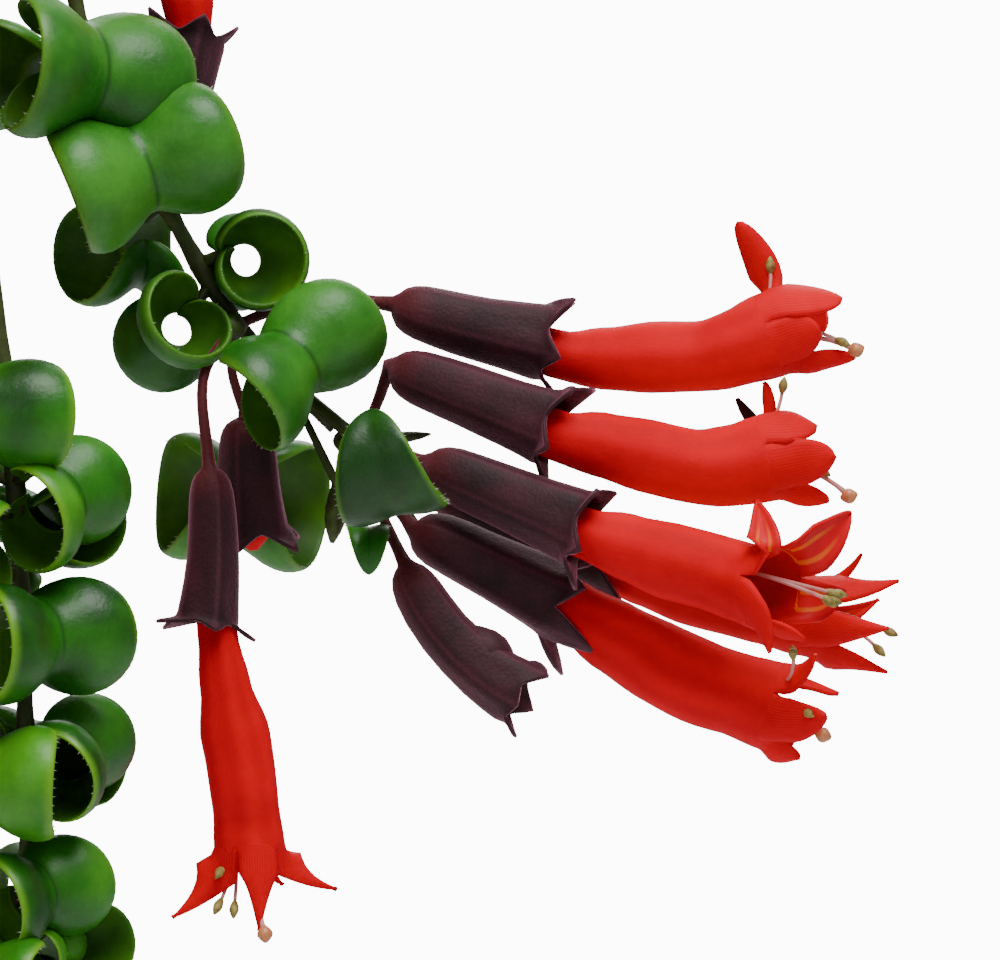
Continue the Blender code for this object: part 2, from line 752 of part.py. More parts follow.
def rooted(points, count):
    """A route that leaves the soil straight up, then runs smoothly on."""
    return [points[0], *smooth_route(points[1:], count - 1)]


def front_route():
    """The hero stem: out of the soil, over the rim, then down and away to the right."""
    rise = ((34, -20), (34, -6), (39, 10), (58, 21), (78, 17), (89, 2))
    above = [Vector((x * MM, 0, RIM_Z + z * MM)) for x, z in rise]
    places = ((74, 10), (108, 90), (158, 190), (213, 288), (270, 362), (335, 428))
    return rooted([*above, *(picture(*place) for place in places)], 17)


def left_route():
    """The stem that hangs at the picture's left edge."""
    rise = ((35, -20), (35, -6), (41, 8), (60, 19), (80, 12), (89, -6))
    above = [polar(LEFT_AZIMUTH, r * MM, RIM_Z + z * MM) for r, z in rise]
    places = ((-30, 110), (-12, 260), (8, 400), (20, 560), (26, 760), (28, 920), (28, 1040))
    return rooted([*above, *(picture(*place, LEFT_DEPTH) for place in places)], 15)


def trailing_route(azimuth, length, lift):
    """A stem out of the soil, over the rim and down round the pot."""
    sway = TRAIL_SWAY * math.sin(azimuth * 1.7)
    rise = [(34, -20), (34, -6), (40, 10 + lift), (60, 22 + lift), (82, 14 + lift), (96, -10)]
    above = [polar(azimuth, r * MM, RIM_Z + z * MM) for r, z in rise]
    below = [
        polar(
            azimuth + sway * part,
            TRAIL_RADIUS + TRAIL_RIPPLE * math.sin(3 * part + azimuth),
            above[-1].z - length * part,
        )
        for part in (0.33, 0.66, 1.0)
    ]
    return rooted([*above, *below], STEM_POINTS)


def crown_route(azimuth, height):
    """A short stem that leans out a little from the crown."""
    places = ((14, -20), (14, -6), (18, height * 0.5), (26, height))
    return rooted([polar(azimuth, r * MM, RIM_Z + z * MM) for r, z in places], 7)


Stem = namedtuple("Stem", "name azimuth length lift flowers")

TRAILING = (
    Stem("stem_028", 28, 2, 14, 2),
    Stem("stem_056", 56, 116, 0, 0),
    Stem("stem_092", 92, 92, 4, 3),
    Stem("stem_120", 120, 124, 0, 0),
    Stem("stem_148", 148, 84, 6, 3),
    Stem("stem_176", 176, 118, 0, 0),
    Stem("stem_212", 212, 96, 4, 3),
    Stem("stem_240", 240, 126, 0, 0),
    Stem("stem_268", 268, 86, 6, 3),
    Stem("stem_296", 296, 120, 0, 0),
)

CROWN = (
    Stem("crown_020", 20, 50, 0, 0),
    Stem("crown_105", 105, 60, 0, 3),
    Stem("crown_200", 200, 54, 0, 0),
    Stem("crown_290", 290, 62, 0, 0),
)

FRONT_BUNCHES = (
    Bunch(
        "tip",
        (352, 446),
        None,
        (
            Bloom("2", ((372, 414, 6), (390, 366, 2)), (552, 427, -4), ((655, 457, -5), (770, 457, -5)), 1.0),
            Bloom("3", ((392, 450, 3), (424, 462, -2)), (582, 528, -8), ((668, 562, -10), (768, 592, -11)), 1.0),
            Bloom("4", ((384, 490, 2), (412, 527, 0)), (556, 600, 1), ((655, 648, 2), (764, 698, 3)), 1.0),
            Bloom("5", ((384, 520, -2), (404, 562, -6)), (520, 692, -8), None, 0.95),
            Bloom("9", ((384, 468, 7), (424, 484, 11)), (600, 560, 14), ((700, 592, 15), (802, 612, 15)), 0.95),
        ),
    ),
    Bunch(
        "axil",
        (226, 326),
        Vector((-0.4, -1, 0)),
        (
            Bloom(
                "1",
                ((268, 312, 1), (312, 296, 4), (392, 304, 3)),
                (546, 341, 3),
                ((652, 356, 2), (762, 342, 0)),
                1.0,
            ),
            Bloom(
                "6",
                ((203, 380, -8), (209, 466, -10)),
                (206, 622, -11),
                ((232, 728, -10), (246, 832, -9)),
                0.95,
            ),
            Bloom("7", ((232, 372, -2), (246, 416, 0)), (252, 530, 2), None, 0.85),
        ),
    ),
    Bunch(
        "top",
        (160, 190),
        Vector((0.5, 1, 0)),
        (Bloom("8", ((166, 196, 8),), (190, 38, 12), ((178, -50, 13), (150, -140, 14)), 0.9),),
    ),
)

# The flowers at another stem's tip: turn from the stem's own azimuth, rise above level and depth of the stalk
SPRAY = ((-24, 24, 5), (14, 10, 9), (2, -34, 4))


def front_leaves(route, listed):
    """The leaves that the picture shows, each from the nearest point of its stem."""
    made = []
    for entry in listed:
        centre = picture(*entry.at, entry.depth)
        up, out = Vector(entry.up).normalized(), Vector(entry.out).normalized()
        near = centre + up * LEAF_DROP
        places = [along(route, i / ROUTE_STEPS) for i in range(LEAF_ROOT_STEPS)]
        root = min(places, key=lambda place: (place - near).length)
        made.append(Leaf(root, centre, up, out, entry.size))
    return made


def partners(owner, leaves):
    """The leaves opposite the listed ones, on the side that the picture doesn't show."""
    made = []
    for leaf in leaves:
        flat = Vector((leaf.out.x, leaf.out.y, 0)).normalized()
        other = pair_leaf(leaf.root, Vector((0, 0, -1)), -flat, leaf.size * PARTNER_SIZE)
        start, end, radius = leaf_capsule(other)
        if is_clear(owner, start, end, radius):
            made.append(other)
            keep_clear(owner, [start, end], radius)
    return made


def knot_at(route, at, aside):
    """The small swelling that a bunch's stalks grow from, just clear of the stem."""
    if aside is None:
        return route[-1] + direction(route, 1.0) * (KNOT_RADIUS + GAP)
    near = picture(*at)
    share = min((i / ROUTE_STEPS for i in range(ROUTE_STEPS + 1)), key=lambda s: (along(route, s) - near).length)
    growth = direction(route, share)
    away = (aside - growth * aside.dot(growth)).normalized()
    stem = STEM_RADIUS + (STEM_TIP_RADIUS - STEM_RADIUS) * share
    return along(route, share) + away * (stem + KNOT_RADIUS + GAP / 2)


def make_knot(name, centre, look, where):
    bm = bmesh.new()
    bmesh.ops.create_icosphere(bm, subdivisions=1, radius=KNOT_RADIUS)
    bmesh.ops.translate(bm, verts=bm.verts, vec=centre)
    return mesh_object(name, bm, look, where)


def make_bunch(name, knot, blooms, purple, red, where):
    """One body of stalks and calyxes, and each open flower's corolla seated in its calyx."""
    cups = []
    for label, stalk, mouth, line, size, dorsal in blooms:
        cups.append(make_calyx(f"{name}_cup_{label}", [knot, *stalk], mouth, dorsal, size, purple, where))
        keep_clear(name, [knot, *stalk], STALK_CLEARANCE)
        keep_clear(name, [stalk[-1], mouth], CALYX_CLEARANCE * size)
        if line:
            seat = seat_of(stalk[-1], mouth)
            full = [seat, mouth, *line]
            make_corolla(f"corolla_{name[8:]}_{label}", full, dorsal, size, red, where)
            keep_clear(name, [mouth, *line], TUBE_CLEARANCE * size)
            ahead = (line[-1] - line[-2]).normalized()
            tips = line[-1] + ahead * LOBE_CLEARANCE_LENGTH * size
            keep_clear(name, [line[-1], tips], LOBE_CLEARANCE * size)
    body = make_knot(name, knot, purple, where)
    return joined(body, cups)


def spray_blooms(azimuth, tip, count):
    """Flowers that rise out and away from a stem's tip."""
    blooms = []
    for number, (turn, rise, lean) in enumerate(SPRAY[:count]):
        level = polar(azimuth + turn, 1.0, 0)
        up = Vector((0, 0, 1))
        heading = level * math.cos(math.radians(rise)) + up * math.sin(math.radians(rise))
        lower = math.radians(rise - SPRAY_BEND)
        bent = level * math.cos(lower) + up * math.sin(lower)
        neck = tip + (level * 0.8 + heading).normalized() * (SPRAY_STALK + lean) * MM
        mouth = neck + heading * CALYX_LENGTH
        middle = mouth + heading * 0.45 * COROLLA_LENGTH
        throat = middle + bent * 0.5 * COROLLA_LENGTH
        line = (middle, throat) if number < 2 else None
        blooms.append((str(number + 1), (neck,), mouth, line, 1.0, up))
    return blooms


def main():
    clear_scene()
    basket = new_collection("Lipstick plant hanging basket")
    cutters = new_collection("Cutters")
    cutters.hide_render = True
    clay = material("Moulded polypropylene", CLAY, 0.45)
    zinc = material("Galvanised wire", ZINC, 0.35, 1.0)
    earth = material("Potting soil", EARTH, 0.95)
    green = material("Fleshy leaf", GREEN, 0.3)
    purple = material("Velvety calyx", PURPLE, 0.6)
    red = material("Red corolla", RED, 0.35)

    make_pot(basket, cutters, clay)
    make_saucer(basket, clay)
    make_hook(basket, zinc)
    for number, azimuth in enumerate(STRAND_AZIMUTHS):
        make_strand(number, azimuth, basket, zinc)
        top = Vector((0, 0, EYE_CENTRE_Z - EYE_RADIUS))
        keep_clear("hanger", [top, polar(azimuth, STRAND_HOLE_AT, RIM_Z)], STRAND_RADIUS)

    routes = {"stem_front": front_route(), "stem_left": left_route()}
    for stem in TRAILING:
        routes[stem.name] = trailing_route(stem.azimuth, stem.length * MM, stem.lift)
    for stem in CROWN:
        routes[stem.name] = crown_route(stem.azimuth, stem.length)
    for name, route in routes.items():
        keep_clear(name, route[1:], STEM_RADIUS)
    keep_clear("open view", [picture(80, 232, LEFT_DEPTH), picture(80, 330, LEFT_DEPTH)], 6 * MM)
    roots = [Vector((route[0].x, route[0].y, RIM_Z - SOIL_BELOW_RIM)) for route in routes.values()]
    make_soil(basket, cutters, earth, roots)

    front = routes["stem_front"]
    for bunch in FRONT_BUNCHES:
        blooms = []
        for bloom in bunch.blooms:
            stalk = [picture(*point) for point in bloom.stalk]
            line = [picture(*point) for point in bloom.line] if bloom.line else None
            dorsal = Vector((0, 0, 1)) if bloom.name not in ("6", "8") else Vector((-1, 0, 0))
            blooms.append((bloom.name, stalk, picture(*bloom.mouth), line, bloom.size, dorsal))
        knot = knot_at(front, bunch.at, bunch.aside)
        make_bunch(f"calyces_front_{bunch.name}", knot, blooms, purple, red, basket)
    for stem in (*TRAILING, *CROWN):
        if stem.flowers:
            knot = knot_at(routes[stem.name], None, None)
            blooms = spray_blooms(stem.azimuth, knot, stem.flowers)
            name = "calyces_" + stem.name[-3:] + CROWN_MARK * (stem in CROWN)
            make_bunch(name, knot, blooms, purple, red, basket)

    for name, listed in (("stem_front", FRONT_LEAVES), ("stem_left", LEFT_LEAVES)):
        leaves = front_leaves(routes[name], listed)
        for leaf in leaves:
            start, end, radius = leaf_capsule(leaf)
            keep_clear(name, [start, end], radius)
        leaves += partners(name, leaves if name == "stem_left" else leaves[:1])
        above = stem_leaves(name, routes[name], ARCH_FROM, 0.95, last=ARCH_TO[name])
        make_leafy_stem(name, routes[name], [*above, *leaves], green, basket)
    for stem in TRAILING:
        leaves = stem_leaves(stem.name, routes[stem.name], ARCH_FROM, 1.05, turned_by=stem.azimuth % 45)
        make_leafy_stem(stem.name, routes[stem.name], leaves, green, basket)
    for stem in CROWN:
        turned_by = stem.azimuth % 60
        leaves = stem_leaves(stem.name, routes[stem.name], 0.42, 0.95, CROWN_INTERNODE, turned_by=turned_by)
        make_leafy_stem(stem.name, routes[stem.name], leaves, green, basket)


main()
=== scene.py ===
# %% [markdown]
# # A curly-leaved lipstick plant in a hanging basket
# The real thing is a trailing houseplant whose thick leaves roll back into tight rings. Its red flowers come
# out of dark, velvety cups. It grows in a plastic hanging pot with a clip-on saucer and a wire hanger.
# The solids are already packed as a fixed frame. This script loads them, sets a camera and lights, and then
# replaces each solid with a finer piece that stands in the same place.

import json
import math
import random
from collections import namedtuple
from functools import partial

import bmesh
import bpy
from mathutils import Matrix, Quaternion, Vector, noise

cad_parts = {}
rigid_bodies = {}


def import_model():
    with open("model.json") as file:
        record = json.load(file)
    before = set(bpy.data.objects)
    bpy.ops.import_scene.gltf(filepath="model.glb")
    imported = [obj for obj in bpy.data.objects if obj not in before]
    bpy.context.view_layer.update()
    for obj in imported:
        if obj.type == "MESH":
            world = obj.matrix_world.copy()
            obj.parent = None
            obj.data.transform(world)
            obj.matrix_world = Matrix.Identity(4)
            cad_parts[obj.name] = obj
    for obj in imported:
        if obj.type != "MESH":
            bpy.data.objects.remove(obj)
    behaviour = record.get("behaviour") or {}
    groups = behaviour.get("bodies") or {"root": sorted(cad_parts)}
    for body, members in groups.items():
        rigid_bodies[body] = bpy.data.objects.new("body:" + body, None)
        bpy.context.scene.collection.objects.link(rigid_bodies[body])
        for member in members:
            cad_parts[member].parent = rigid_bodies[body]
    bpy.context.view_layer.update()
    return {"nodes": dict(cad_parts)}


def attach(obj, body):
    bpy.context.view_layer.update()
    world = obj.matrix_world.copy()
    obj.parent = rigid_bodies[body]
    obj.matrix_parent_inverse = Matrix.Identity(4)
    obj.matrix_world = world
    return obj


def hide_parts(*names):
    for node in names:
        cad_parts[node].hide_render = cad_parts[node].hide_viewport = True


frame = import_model()
MM = 0.001
UP = Vector((0, 0, 1))
print("nodes in the frame:", len(frame["nodes"]))

# %% [markdown]
# ## Where the picture lies
# The stem with the open flowers is seen from the front, level with the flowers. One pixel of that view is
# 0.13 mm at the stem's own depth. A point of the view becomes a point in the basket's frame with one small
# function, and depth is counted away from the viewer, so things nearer or further keep their place in it.

# %% The picture's plane
PIXEL = 0.13 * MM
VIEW_DISTANCE = 1000 * MM
WIDE, HIGH = PICTURE_CENTRE = (500, 480)
RIM_Z = -290 * MM
PICTURE_LEFT = 80 * MM
PICTURE_TOP = RIM_Z - 25 * MM


def picture(px, py, depth=0.0):
    """The point of the basket's frame that shows at this place, with its depth in millimetres."""
    grow = 1 + depth * MM / VIEW_DISTANCE
    across = (px - WIDE) * PIXEL * grow
    down = (py - HIGH) * PIXEL * grow
    return Vector((PICTURE_LEFT + WIDE * PIXEL + across, depth * MM, PICTURE_TOP - HIGH * PIXEL - down))


def polar(azimuth, radius, height):
    """A point at this turn in degrees round the pot's axis."""
    turn = math.radians(azimuth)
    return Vector((radius * math.cos(turn), radius * math.sin(turn), height))


def in_scene(name, data):
    """A new object with this data."""
    made = bpy.data.objects.new(name, data)
    bpy.context.scene.collection.objects.link(made)
    return made


def stands_for(piece, node):
    """The piece moves with the basket and stands for this solid, which is hidden."""
    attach(piece, "root")
    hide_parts(node)


print("middle of the view:", [round(v / MM, 1) for v in picture(*PICTURE_CENTRE)])

# %% [markdown]
# ## Camera
# The view is level and straight on, with a long lens: it is a close-up about 130 mm wide, taken from a metre
# away. A longer lens from further off would flatten the rolls, and a short one would swell the near leaves.

# %% Set the camera
camera_data = bpy.data.cameras.new("Camera")
camera_data.sensor_width = 36
camera_data.lens = 36 * VIEW_DISTANCE / (1000 * PIXEL)
camera_data.clip_start = 0.05
camera = in_scene("Camera", camera_data)
camera.location = picture(*PICTURE_CENTRE) - Vector((0, VIEW_DISTANCE, 0))
camera.rotation_euler = (math.pi / 2, 0, 0)
bpy.context.scene.camera = camera
print("lens:", round(camera_data.lens, 1), "mm")

# %% [markdown]
# ## How materials are written
# Every finish is made of Blender's own nodes. Colours are given as hex values, as on a paint chart, and one
# function turns them to the linear values that a shader works with. A second small function adds a node with
# its settings and its links. Each plant piece also carries a value at every point, called form: how far
# across the blade the point is, how far along it is, and a number of its own for each leaf or flower.
# Patterns read that, so a crease or an edge stays where it belongs whatever way the leaf is rolled.

# %% Colour and node helpers
# Every Mix node here mixes colours, and every Map Range node eases in and out
USUAL_SETTINGS = {"Mix": {"data_type": "RGBA"}, "MapRange": {"interpolation_type": "SMOOTHSTEP"}}


def linear(code):
    """A hex colour as linear red, green, blue and alpha."""
    made = []
    for place in (1, 3, 5):
        value = int(code[place : place + 2], 16) / 255
        made.append(value / 12.92 if value <= 0.04045 else ((value + 0.055) / 1.055) ** 2.4)
    return (*made, 1.0)


def feed(socket, value):
    """Links a socket to an output or to a node's first output, or sets its own number or hex colour."""
    if isinstance(value, bpy.types.Node):
        value = next(output for output in value.outputs if output.enabled)
    if isinstance(value, bpy.types.NodeSocket):
        socket.id_data.links.new(value, socket)
    elif value is not None:
        socket.default_value = linear(value) if isinstance(value, str) else value


def add(tree, kind, *values, stops=(), **settings):
    """Adds a node with its settings and a ramp's stops. Values feed its sockets in order; None skips one."""
    made = tree.nodes.new("ShaderNode" + kind)
    for name, value in (USUAL_SETTINGS.get(kind, {}) | settings).items():
        setattr(made, name, value)
    for count, (place, colour) in enumerate(stops):
        ramp = made.color_ramp.elements
        stop = ramp[count] if count < 2 else ramp.new(place)
        stop.position = place
        stop.color = linear(colour)
    for socket, value in zip([socket for socket in made.inputs if socket.enabled], values):
        feed(socket, value)
    return made


def dress(shader, **sockets):
    """Feeds the shader's own sockets, whose names are written with _ for a space."""
    for name, value in sockets.items():
        feed(shader.inputs[name.replace("_", " ")], value)


def finish(name, **sockets):
    """A new material: returns it, its shader, and the function that adds nodes to it."""
    made = bpy.data.materials.new(name)
    made.use_nodes = True
    shader = made.node_tree.nodes["Principled BSDF"]
    dress(shader, **sockets)
    return made, shader, partial(add, made.node_tree)


print("linear mid green:", [round(v, 3) for v in linear("#3E7F2E")])

# %% [markdown]
# ## Light and floor
# Soft studio light: one wide panel above and a little in front, a weaker one from the front left, one behind,
# and a pale room all round. Leaves like these are lit on top and fall to a deep green below, so the top panel
# does most of the work. The floor is matt and plain, well below the lowest leaf, because the basket hangs.

# %% Lights, room and floor
FLOOR_Z = -0.86
FLOOR_REACH = 4


def panel(name, place, aim, wide, watts):
    """A square soft light at a place, turned to face a point."""
    data = bpy.data.lights.new(name, "AREA")
    data.size = wide
    data.energy = watts
    made = in_scene(name, data)
    made.location = place
    made.rotation_euler = (Vector(aim) - Vector(place)).to_track_quat("-Z", "Y").to_euler()


panel("Top_panel", (0.3, -0.5, 0.75), (0.05, 0, -0.36), 0.8, 19)
panel("Front_panel", (-0.9, -1.3, 0.1), (0.05, 0, -0.36), 0.9, 4)
panel("Back_panel", (0.3, 1.3, 0.6), (0.0, 0, -0.36), 0.9, 10)

world = bpy.data.worlds.new("Pale room")
bpy.context.scene.world = world
world.use_nodes = True
room = world.node_tree
pale = room.nodes["Background"]
feed(pale.inputs["Color"], (0.9, 0.93, 1.0, 1))
feed(pale.inputs["Strength"], 0.27)
seen = add(room, "Background", (1, 1, 1, 1), 12.0)
feed(room.nodes["World Output"].inputs["Surface"], add(room, "MixShader", add(room, "LightPath"), pale, seen))

corners = [(x * FLOOR_REACH, y * FLOOR_REACH, FLOOR_Z) for x, y in ((-1, -1), (1, -1), (1, 1), (-1, 1))]
floor_mesh = bpy.data.meshes.new("Floor")
floor_mesh.from_pydata(corners, [], [(0, 1, 2, 3)])
paint = finish("Matt white floor paint", Base_Color=(0.93, 0.93, 0.92, 1), Roughness=0.9)[0]
floor_mesh.materials.append(paint)
in_scene("Floor", floor_mesh)
print("floor at", FLOOR_Z)

# %% [markdown]
# ## The upper side of a leaf
# The leaf is thick and waxy, like a succulent's. Light goes a little way into it, so its thin edges glow
# yellow-green, and the wax gives a broad, soft highlight. Its green isn't even: there are cloudy patches some
# millimetres wide, fine cells that barely show, a thin dark line of painted shade in the midrib's crease, and
# a paler margin. Some leaves of the view are painted lighter or darker as a whole: painted light and shade.

# %% Leaf, upper side
GRAININESS = 0.55


def per(size):
    """The noise scale whose patches are this many millimetres across."""
    return 0.5 / (size * MM)


def glow(weight, depth, reach):
    """Light that goes this many millimetres into the surface, and how far each colour of it goes."""
    return {"Subsurface_Weight": weight, "Subsurface_Scale": depth * MM, "Subsurface_Radius": reach}


def reading(node):
    """What patterns read: the place in the piece's own space, and the form's across, along and number."""
    form = node("SeparateXYZ", node("Attribute", attribute_name="form").outputs["Vector"]).outputs
    return node("TexCoord").outputs["Object"], form["X"], form["Y"], form["Z"]


def upper_leaf(name, deep, middle, light, margin):
    """A waxy green: the four hex colours run from shaded patches to the margin."""
    made, shader, node = finish(name, IOR=1.45, Specular_IOR_Level=0.48, **glow(0.16, 1.2, (0.5, 1.0, 0.12)))
    place, across, _, number = reading(node)
    cloud = node("TexNoise", place, per(7), 3, GRAININESS)
    # The leaf's number moves the greens: a random tone for most leaves, painted light and shade for some of
    # the view
    tone_and_painted_light = node("Math", number, 0.3, cloud, operation="MULTIPLY_ADD")
    greens = node("ValToRGB", tone_and_painted_light, stops=((0.38, deep), (0.86, light), (0.62, middle)))
    from_midrib = node("Math", across, operation="ABSOLUTE")
    # Painted shade: the deepest green is painted as a thin dark line along the midrib's crease
    crease_painted_shade = node("Mix", node("MapRange", from_midrib, -0.03, 0.06), deep, greens)
    edged = node("Mix", node("MapRange", from_midrib, 0.86, 1.02), crease_painted_shade, margin)
    # Leaf cells are about 0.05 mm across, too fine to show, so they are drawn at 0.35 mm
    cells = node("TexNoise", place, per(0.35), 2, GRAININESS)
    fleck = node("Math", cells, 0.26, 0.87, operation="MULTIPLY_ADD")
    toned = node("Mix", 1.0, edged, node("CombineColor", fleck, fleck, fleck), blend_type="MULTIPLY")
    shine = node("Math", cloud, 0.22, 0.29, operation="MULTIPLY_ADD")
    pebbles = node("TexNoise", place, per(0.9), 2, GRAININESS)
    relief = node("Math", pebbles, 1.6, cells, operation="MULTIPLY_ADD")
    dress(shader, Base_Color=toned, Roughness=shine, Normal=node("Bump", 0.6, 0.07 * MM, None, relief))
    return made


waxy_green = upper_leaf("Waxy leaf, upper side", "#134506", "#297314", "#4A962A", "#5C9626")
# Painted light: a lighter copy of the waxy green for the leaves of the left stem
leaf_green_with_painted_light = upper_leaf("Waxy leaf in more light, upper side", "#114803", "#2A7A0A", "#509F16", "#72AE1C")
print("made", waxy_green.name, "and", leaf_green_with_painted_light.name)

# %% [markdown]
# ## The under side of a leaf
# Inside each roll the blade shows its under side, which has less wax and is a brighter yellow-green. Light
# comes through the blade there, so this side carries more of the light inside it than the upper one.

# %% Leaf, under side
lit = glow(0.25, 1.5, (0.5, 1.0, 0.1))
soft_green, shader, node = finish("Leaf, under side", Roughness=0.5, Specular_IOR_Level=0.35, **lit)
place, across, _, _ = reading(node)
cloud = node("TexNoise", place, per(5), 3, GRAININESS)
under = node("ValToRGB", cloud, stops=((0.3, "#27590A"), (0.75, "#568E12")))
beside_midrib = node("MapRange", node("Math", across, operation="ABSOLUTE"), 0.0, 0.1)
pores = node("TexNoise", place, per(0.8), 3, GRAININESS)
shade = node("Mix", beside_midrib, "#6C9A2E", under)
dress(shader, Base_Color=shade, Normal=node("Bump", 0.4, 0.06 * MM, None, pores))
print("made", soft_green.name)

# %% [markdown]
# ## Plain living parts: stems, hairs, threads
# The stems are wiry and olive green, browner where they are old. Fine pale hairs stand along the leaf margins
# of this plant. A hair is about 0.05 mm thick, which is thinner than a pixel, so it is drawn at twice that.
# Four stamens reach out of a flower on rosy threads, with olive-brown anthers, and the style ends in a moist,
# salmon-coloured stigma. All of these are two colours in soft patches with a little relief: one function.

# %% Stem, hair, stamens and style


def mottled(name, low, high, roughness, size, detail=3, high_at=0.72, relief=0.08):
    """Patches of two colours, this many millimetres across, raised by relief in millimetres."""
    made, shader, node = finish(name, Roughness=roughness)
    grain = node("TexNoise", node("TexCoord").outputs["Object"], per(size), detail, GRAININESS)
    dress(shader, Base_Color=node("ValToRGB", grain, stops=((0.3, low), (high_at, high))))
    if relief:
        dress(shader, Normal=node("Bump", 0.6, relief * MM, None, grain))
    return made


olive_stem = mottled("Wiry stem", "#33330F", "#4A5A1E", 0.55, 1.5, 4, 0.7, 0.15)
pale_hair = mottled("Margin hair", "#C9D2B0", "#EEF0E0", 0.5, 3, high_at=0.7, relief=None)
rosy_thread = mottled("Filament", "#D66A6A", "#F0B6AC", 0.45, 2)
olive_anther = mottled("Anther", "#6E5E20", "#B8A558", 0.6, 0.4)
salmon_stigma = mottled("Stigma", "#C9683A", "#EBA06C", 0.3, 0.8)
brown_bud = mottled("Bud scale", "#3A2A14", "#4F6A26", 0.5, 0.9)
print("made", olive_stem.name, pale_hair.name, rosy_thread.name, olive_anther.name, salmon_stigma.name)

# %% [markdown]
# ## The calyx's velvet
# The cup below each flower is so dark a purple that it is nearly black in shade. It is covered with very
# short hairs, which catch light at grazing angles: the rounded sides look mauve and dusty. Sheen gives that.
# The cup's foot and its stalk are redder. Five faint ribs run up to the teeth, and between the hairs the
# surface is finely pitted.

# %% Calyx
downy = {"Sheen_Weight": 0.85, "Sheen_Roughness": 0.42, "Sheen_Tint": "#E394AF"}
velvet, shader, node = finish("Velvety calyx", Roughness=0.62, Specular_IOR_Level=0.3, **downy)
place, across, along_it, _ = reading(node)
cloud = node("TexNoise", place, per(3), 4, GRAININESS)
dark = node("ValToRGB", cloud, stops=((0.3, "#20070D"), (0.72, "#42121F")))
footed = node("Mix", node("MapRange", along_it, 0.02, 0.3), "#5A181A", dark)
rib = node("Math", node("MapRange", across, 0.72, 1.0), 0.35, operation="MULTIPLY")
ribbed = node("Mix", rib, footed, "#6B3044")
# The hairs stand about 0.1 mm apart and are drawn at 0.22 mm so that they show
hairs = node("TexNoise", place, per(0.22), 1, GRAININESS)
pits = node("Math", hairs, 0.9, 0.55, operation="MULTIPLY_ADD")
pitted = node("Mix", 1.0, ribbed, node("CombineColor", pits, pits, pits), blend_type="MULTIPLY")
dress(shader, Base_Color=pitted, Normal=node("Bump", 0.7, 0.12 * MM, None, hairs))
print("made", velvet.name)

# %% [markdown]
# ## The corolla
# The petals are joined into a tube of pure scarlet, so strong that it shows almost no shading. The outside
# has a bloom of tiny hairs and faint veins. Inside the mouth each lobe has orange streaks that guide a bird's
# beak. A lobe that has browned carries a number over 1.5 in its form.

# %% Corolla, outside and inside
lit = glow(0.22, 1.5, (1.0, 0.1, 0.05))
scarlet, shader, node = finish("Scarlet corolla", Roughness=0.6, Specular_IOR_Level=0.08, **lit)
place, _, _, number = reading(node)
cloud = node("TexNoise", place, per(5), 3, GRAININESS)
reds = node("ValToRGB", cloud, stops=((0.3, "#DC0016"), (0.75, "#F8001C")))
worn = node("Mix", node("MapRange", number, 1.4, 1.6), reds, "#35060A")
veins = node("TexWave", node("Attribute", attribute_name="form").outputs["Vector"], 2.6, 1.2)
faint = node("Math", veins.outputs["Fac"], 0.14, 0.9, operation="MULTIPLY_ADD")
veined = node("Mix", 1.0, worn, node("CombineColor", faint, faint, faint), blend_type="MULTIPLY")
bloom = node("TexNoise", place, per(0.25), 1, GRAININESS)
dress(shader, Base_Color=veined, Normal=node("Bump", 0.5, 0.06 * MM, None, bloom))

lit = glow(0.2, 1.2, (1.0, 0.12, 0.05))
throat_red, shader, node = finish("Corolla, inside the mouth", Roughness=0.46, Specular_IOR_Level=0.18, **lit)
place, across, along_it, _ = reading(node)
near_middle = node("Math", across, operation="ABSOLUTE")
from_streak = node("Math", node("Math", near_middle, 0.42, operation="SUBTRACT"), operation="ABSOLUTE")
streak = node("Math", 1.0, node("MapRange", from_streak, 0.05, 0.16), operation="SUBTRACT")
short = node("Math", 1.0, node("MapRange", along_it, 1.45, 1.85), operation="SUBTRACT")
guide = node("Math", streak, short, operation="MULTIPLY")
cloud = node("TexNoise", place, per(3), 3, GRAININESS)
reds = node("ValToRGB", cloud, stops=((0.3, "#D00018"), (0.75, "#F2061E")))
streaked = node("Mix", guide, reds, "#FF6A1E")
cells = node("TexNoise", place, per(0.4), 3, GRAININESS)
dress(shader, Base_Color=streaked, Normal=node("Bump", 0.4, 0.05 * MM, None, cells))
print("made", scarlet.name, "and", throat_red.name)

# %% [markdown]
# ## The basket's plastic, wire and soil
# The pot and saucer are injection-moulded polypropylene in terracotta brown: satin, with a fine spark-eroded
# grain, slightly paler where it has been handled and with a little lime and dust low down. The hanger is
# galvanised steel wire, a dull spangled grey. The soil is peat with bark and white perlite.

# %% Plastic
terracotta, shader, node = finish("Moulded polypropylene", IOR=1.49, Specular_IOR_Level=0.45)
place = node("TexCoord").outputs["Object"]
height = node("SeparateXYZ", place).outputs["Z"]
cloud = node("TexNoise", place, per(18), 5, GRAININESS)
clay = node("ValToRGB", cloud, stops=((0.3, "#96583C"), (0.75, "#A96A4B")))
above = node("MapRange", height, RIM_Z - 105 * MM, RIM_Z - 60 * MM)
low_down = node("Math", 1.0, above, operation="SUBTRACT")
spots = node("MapRange", node("TexNoise", place, per(6), 6, GRAININESS), 0.48, 0.75)
chalky = node("Math", node("Math", low_down, spots, operation="MULTIPLY"), 0.4, operation="MULTIPLY")
handled = node("Math", node("TexNoise", place, per(10), 5, GRAININESS), 0.3, 0.32, operation="MULTIPLY_ADD")
# Spark-eroded grain is about 0.1 mm and is drawn at 0.6 mm
grain = node("Bump", 0.5, 0.05 * MM, None, node("TexNoise", place, per(0.6), 2, GRAININESS))
dress(shader, Base_Color=node("Mix", chalky, clay, "#C9AE97"), Roughness=handled, Normal=grain)
print("made", terracotta.name)

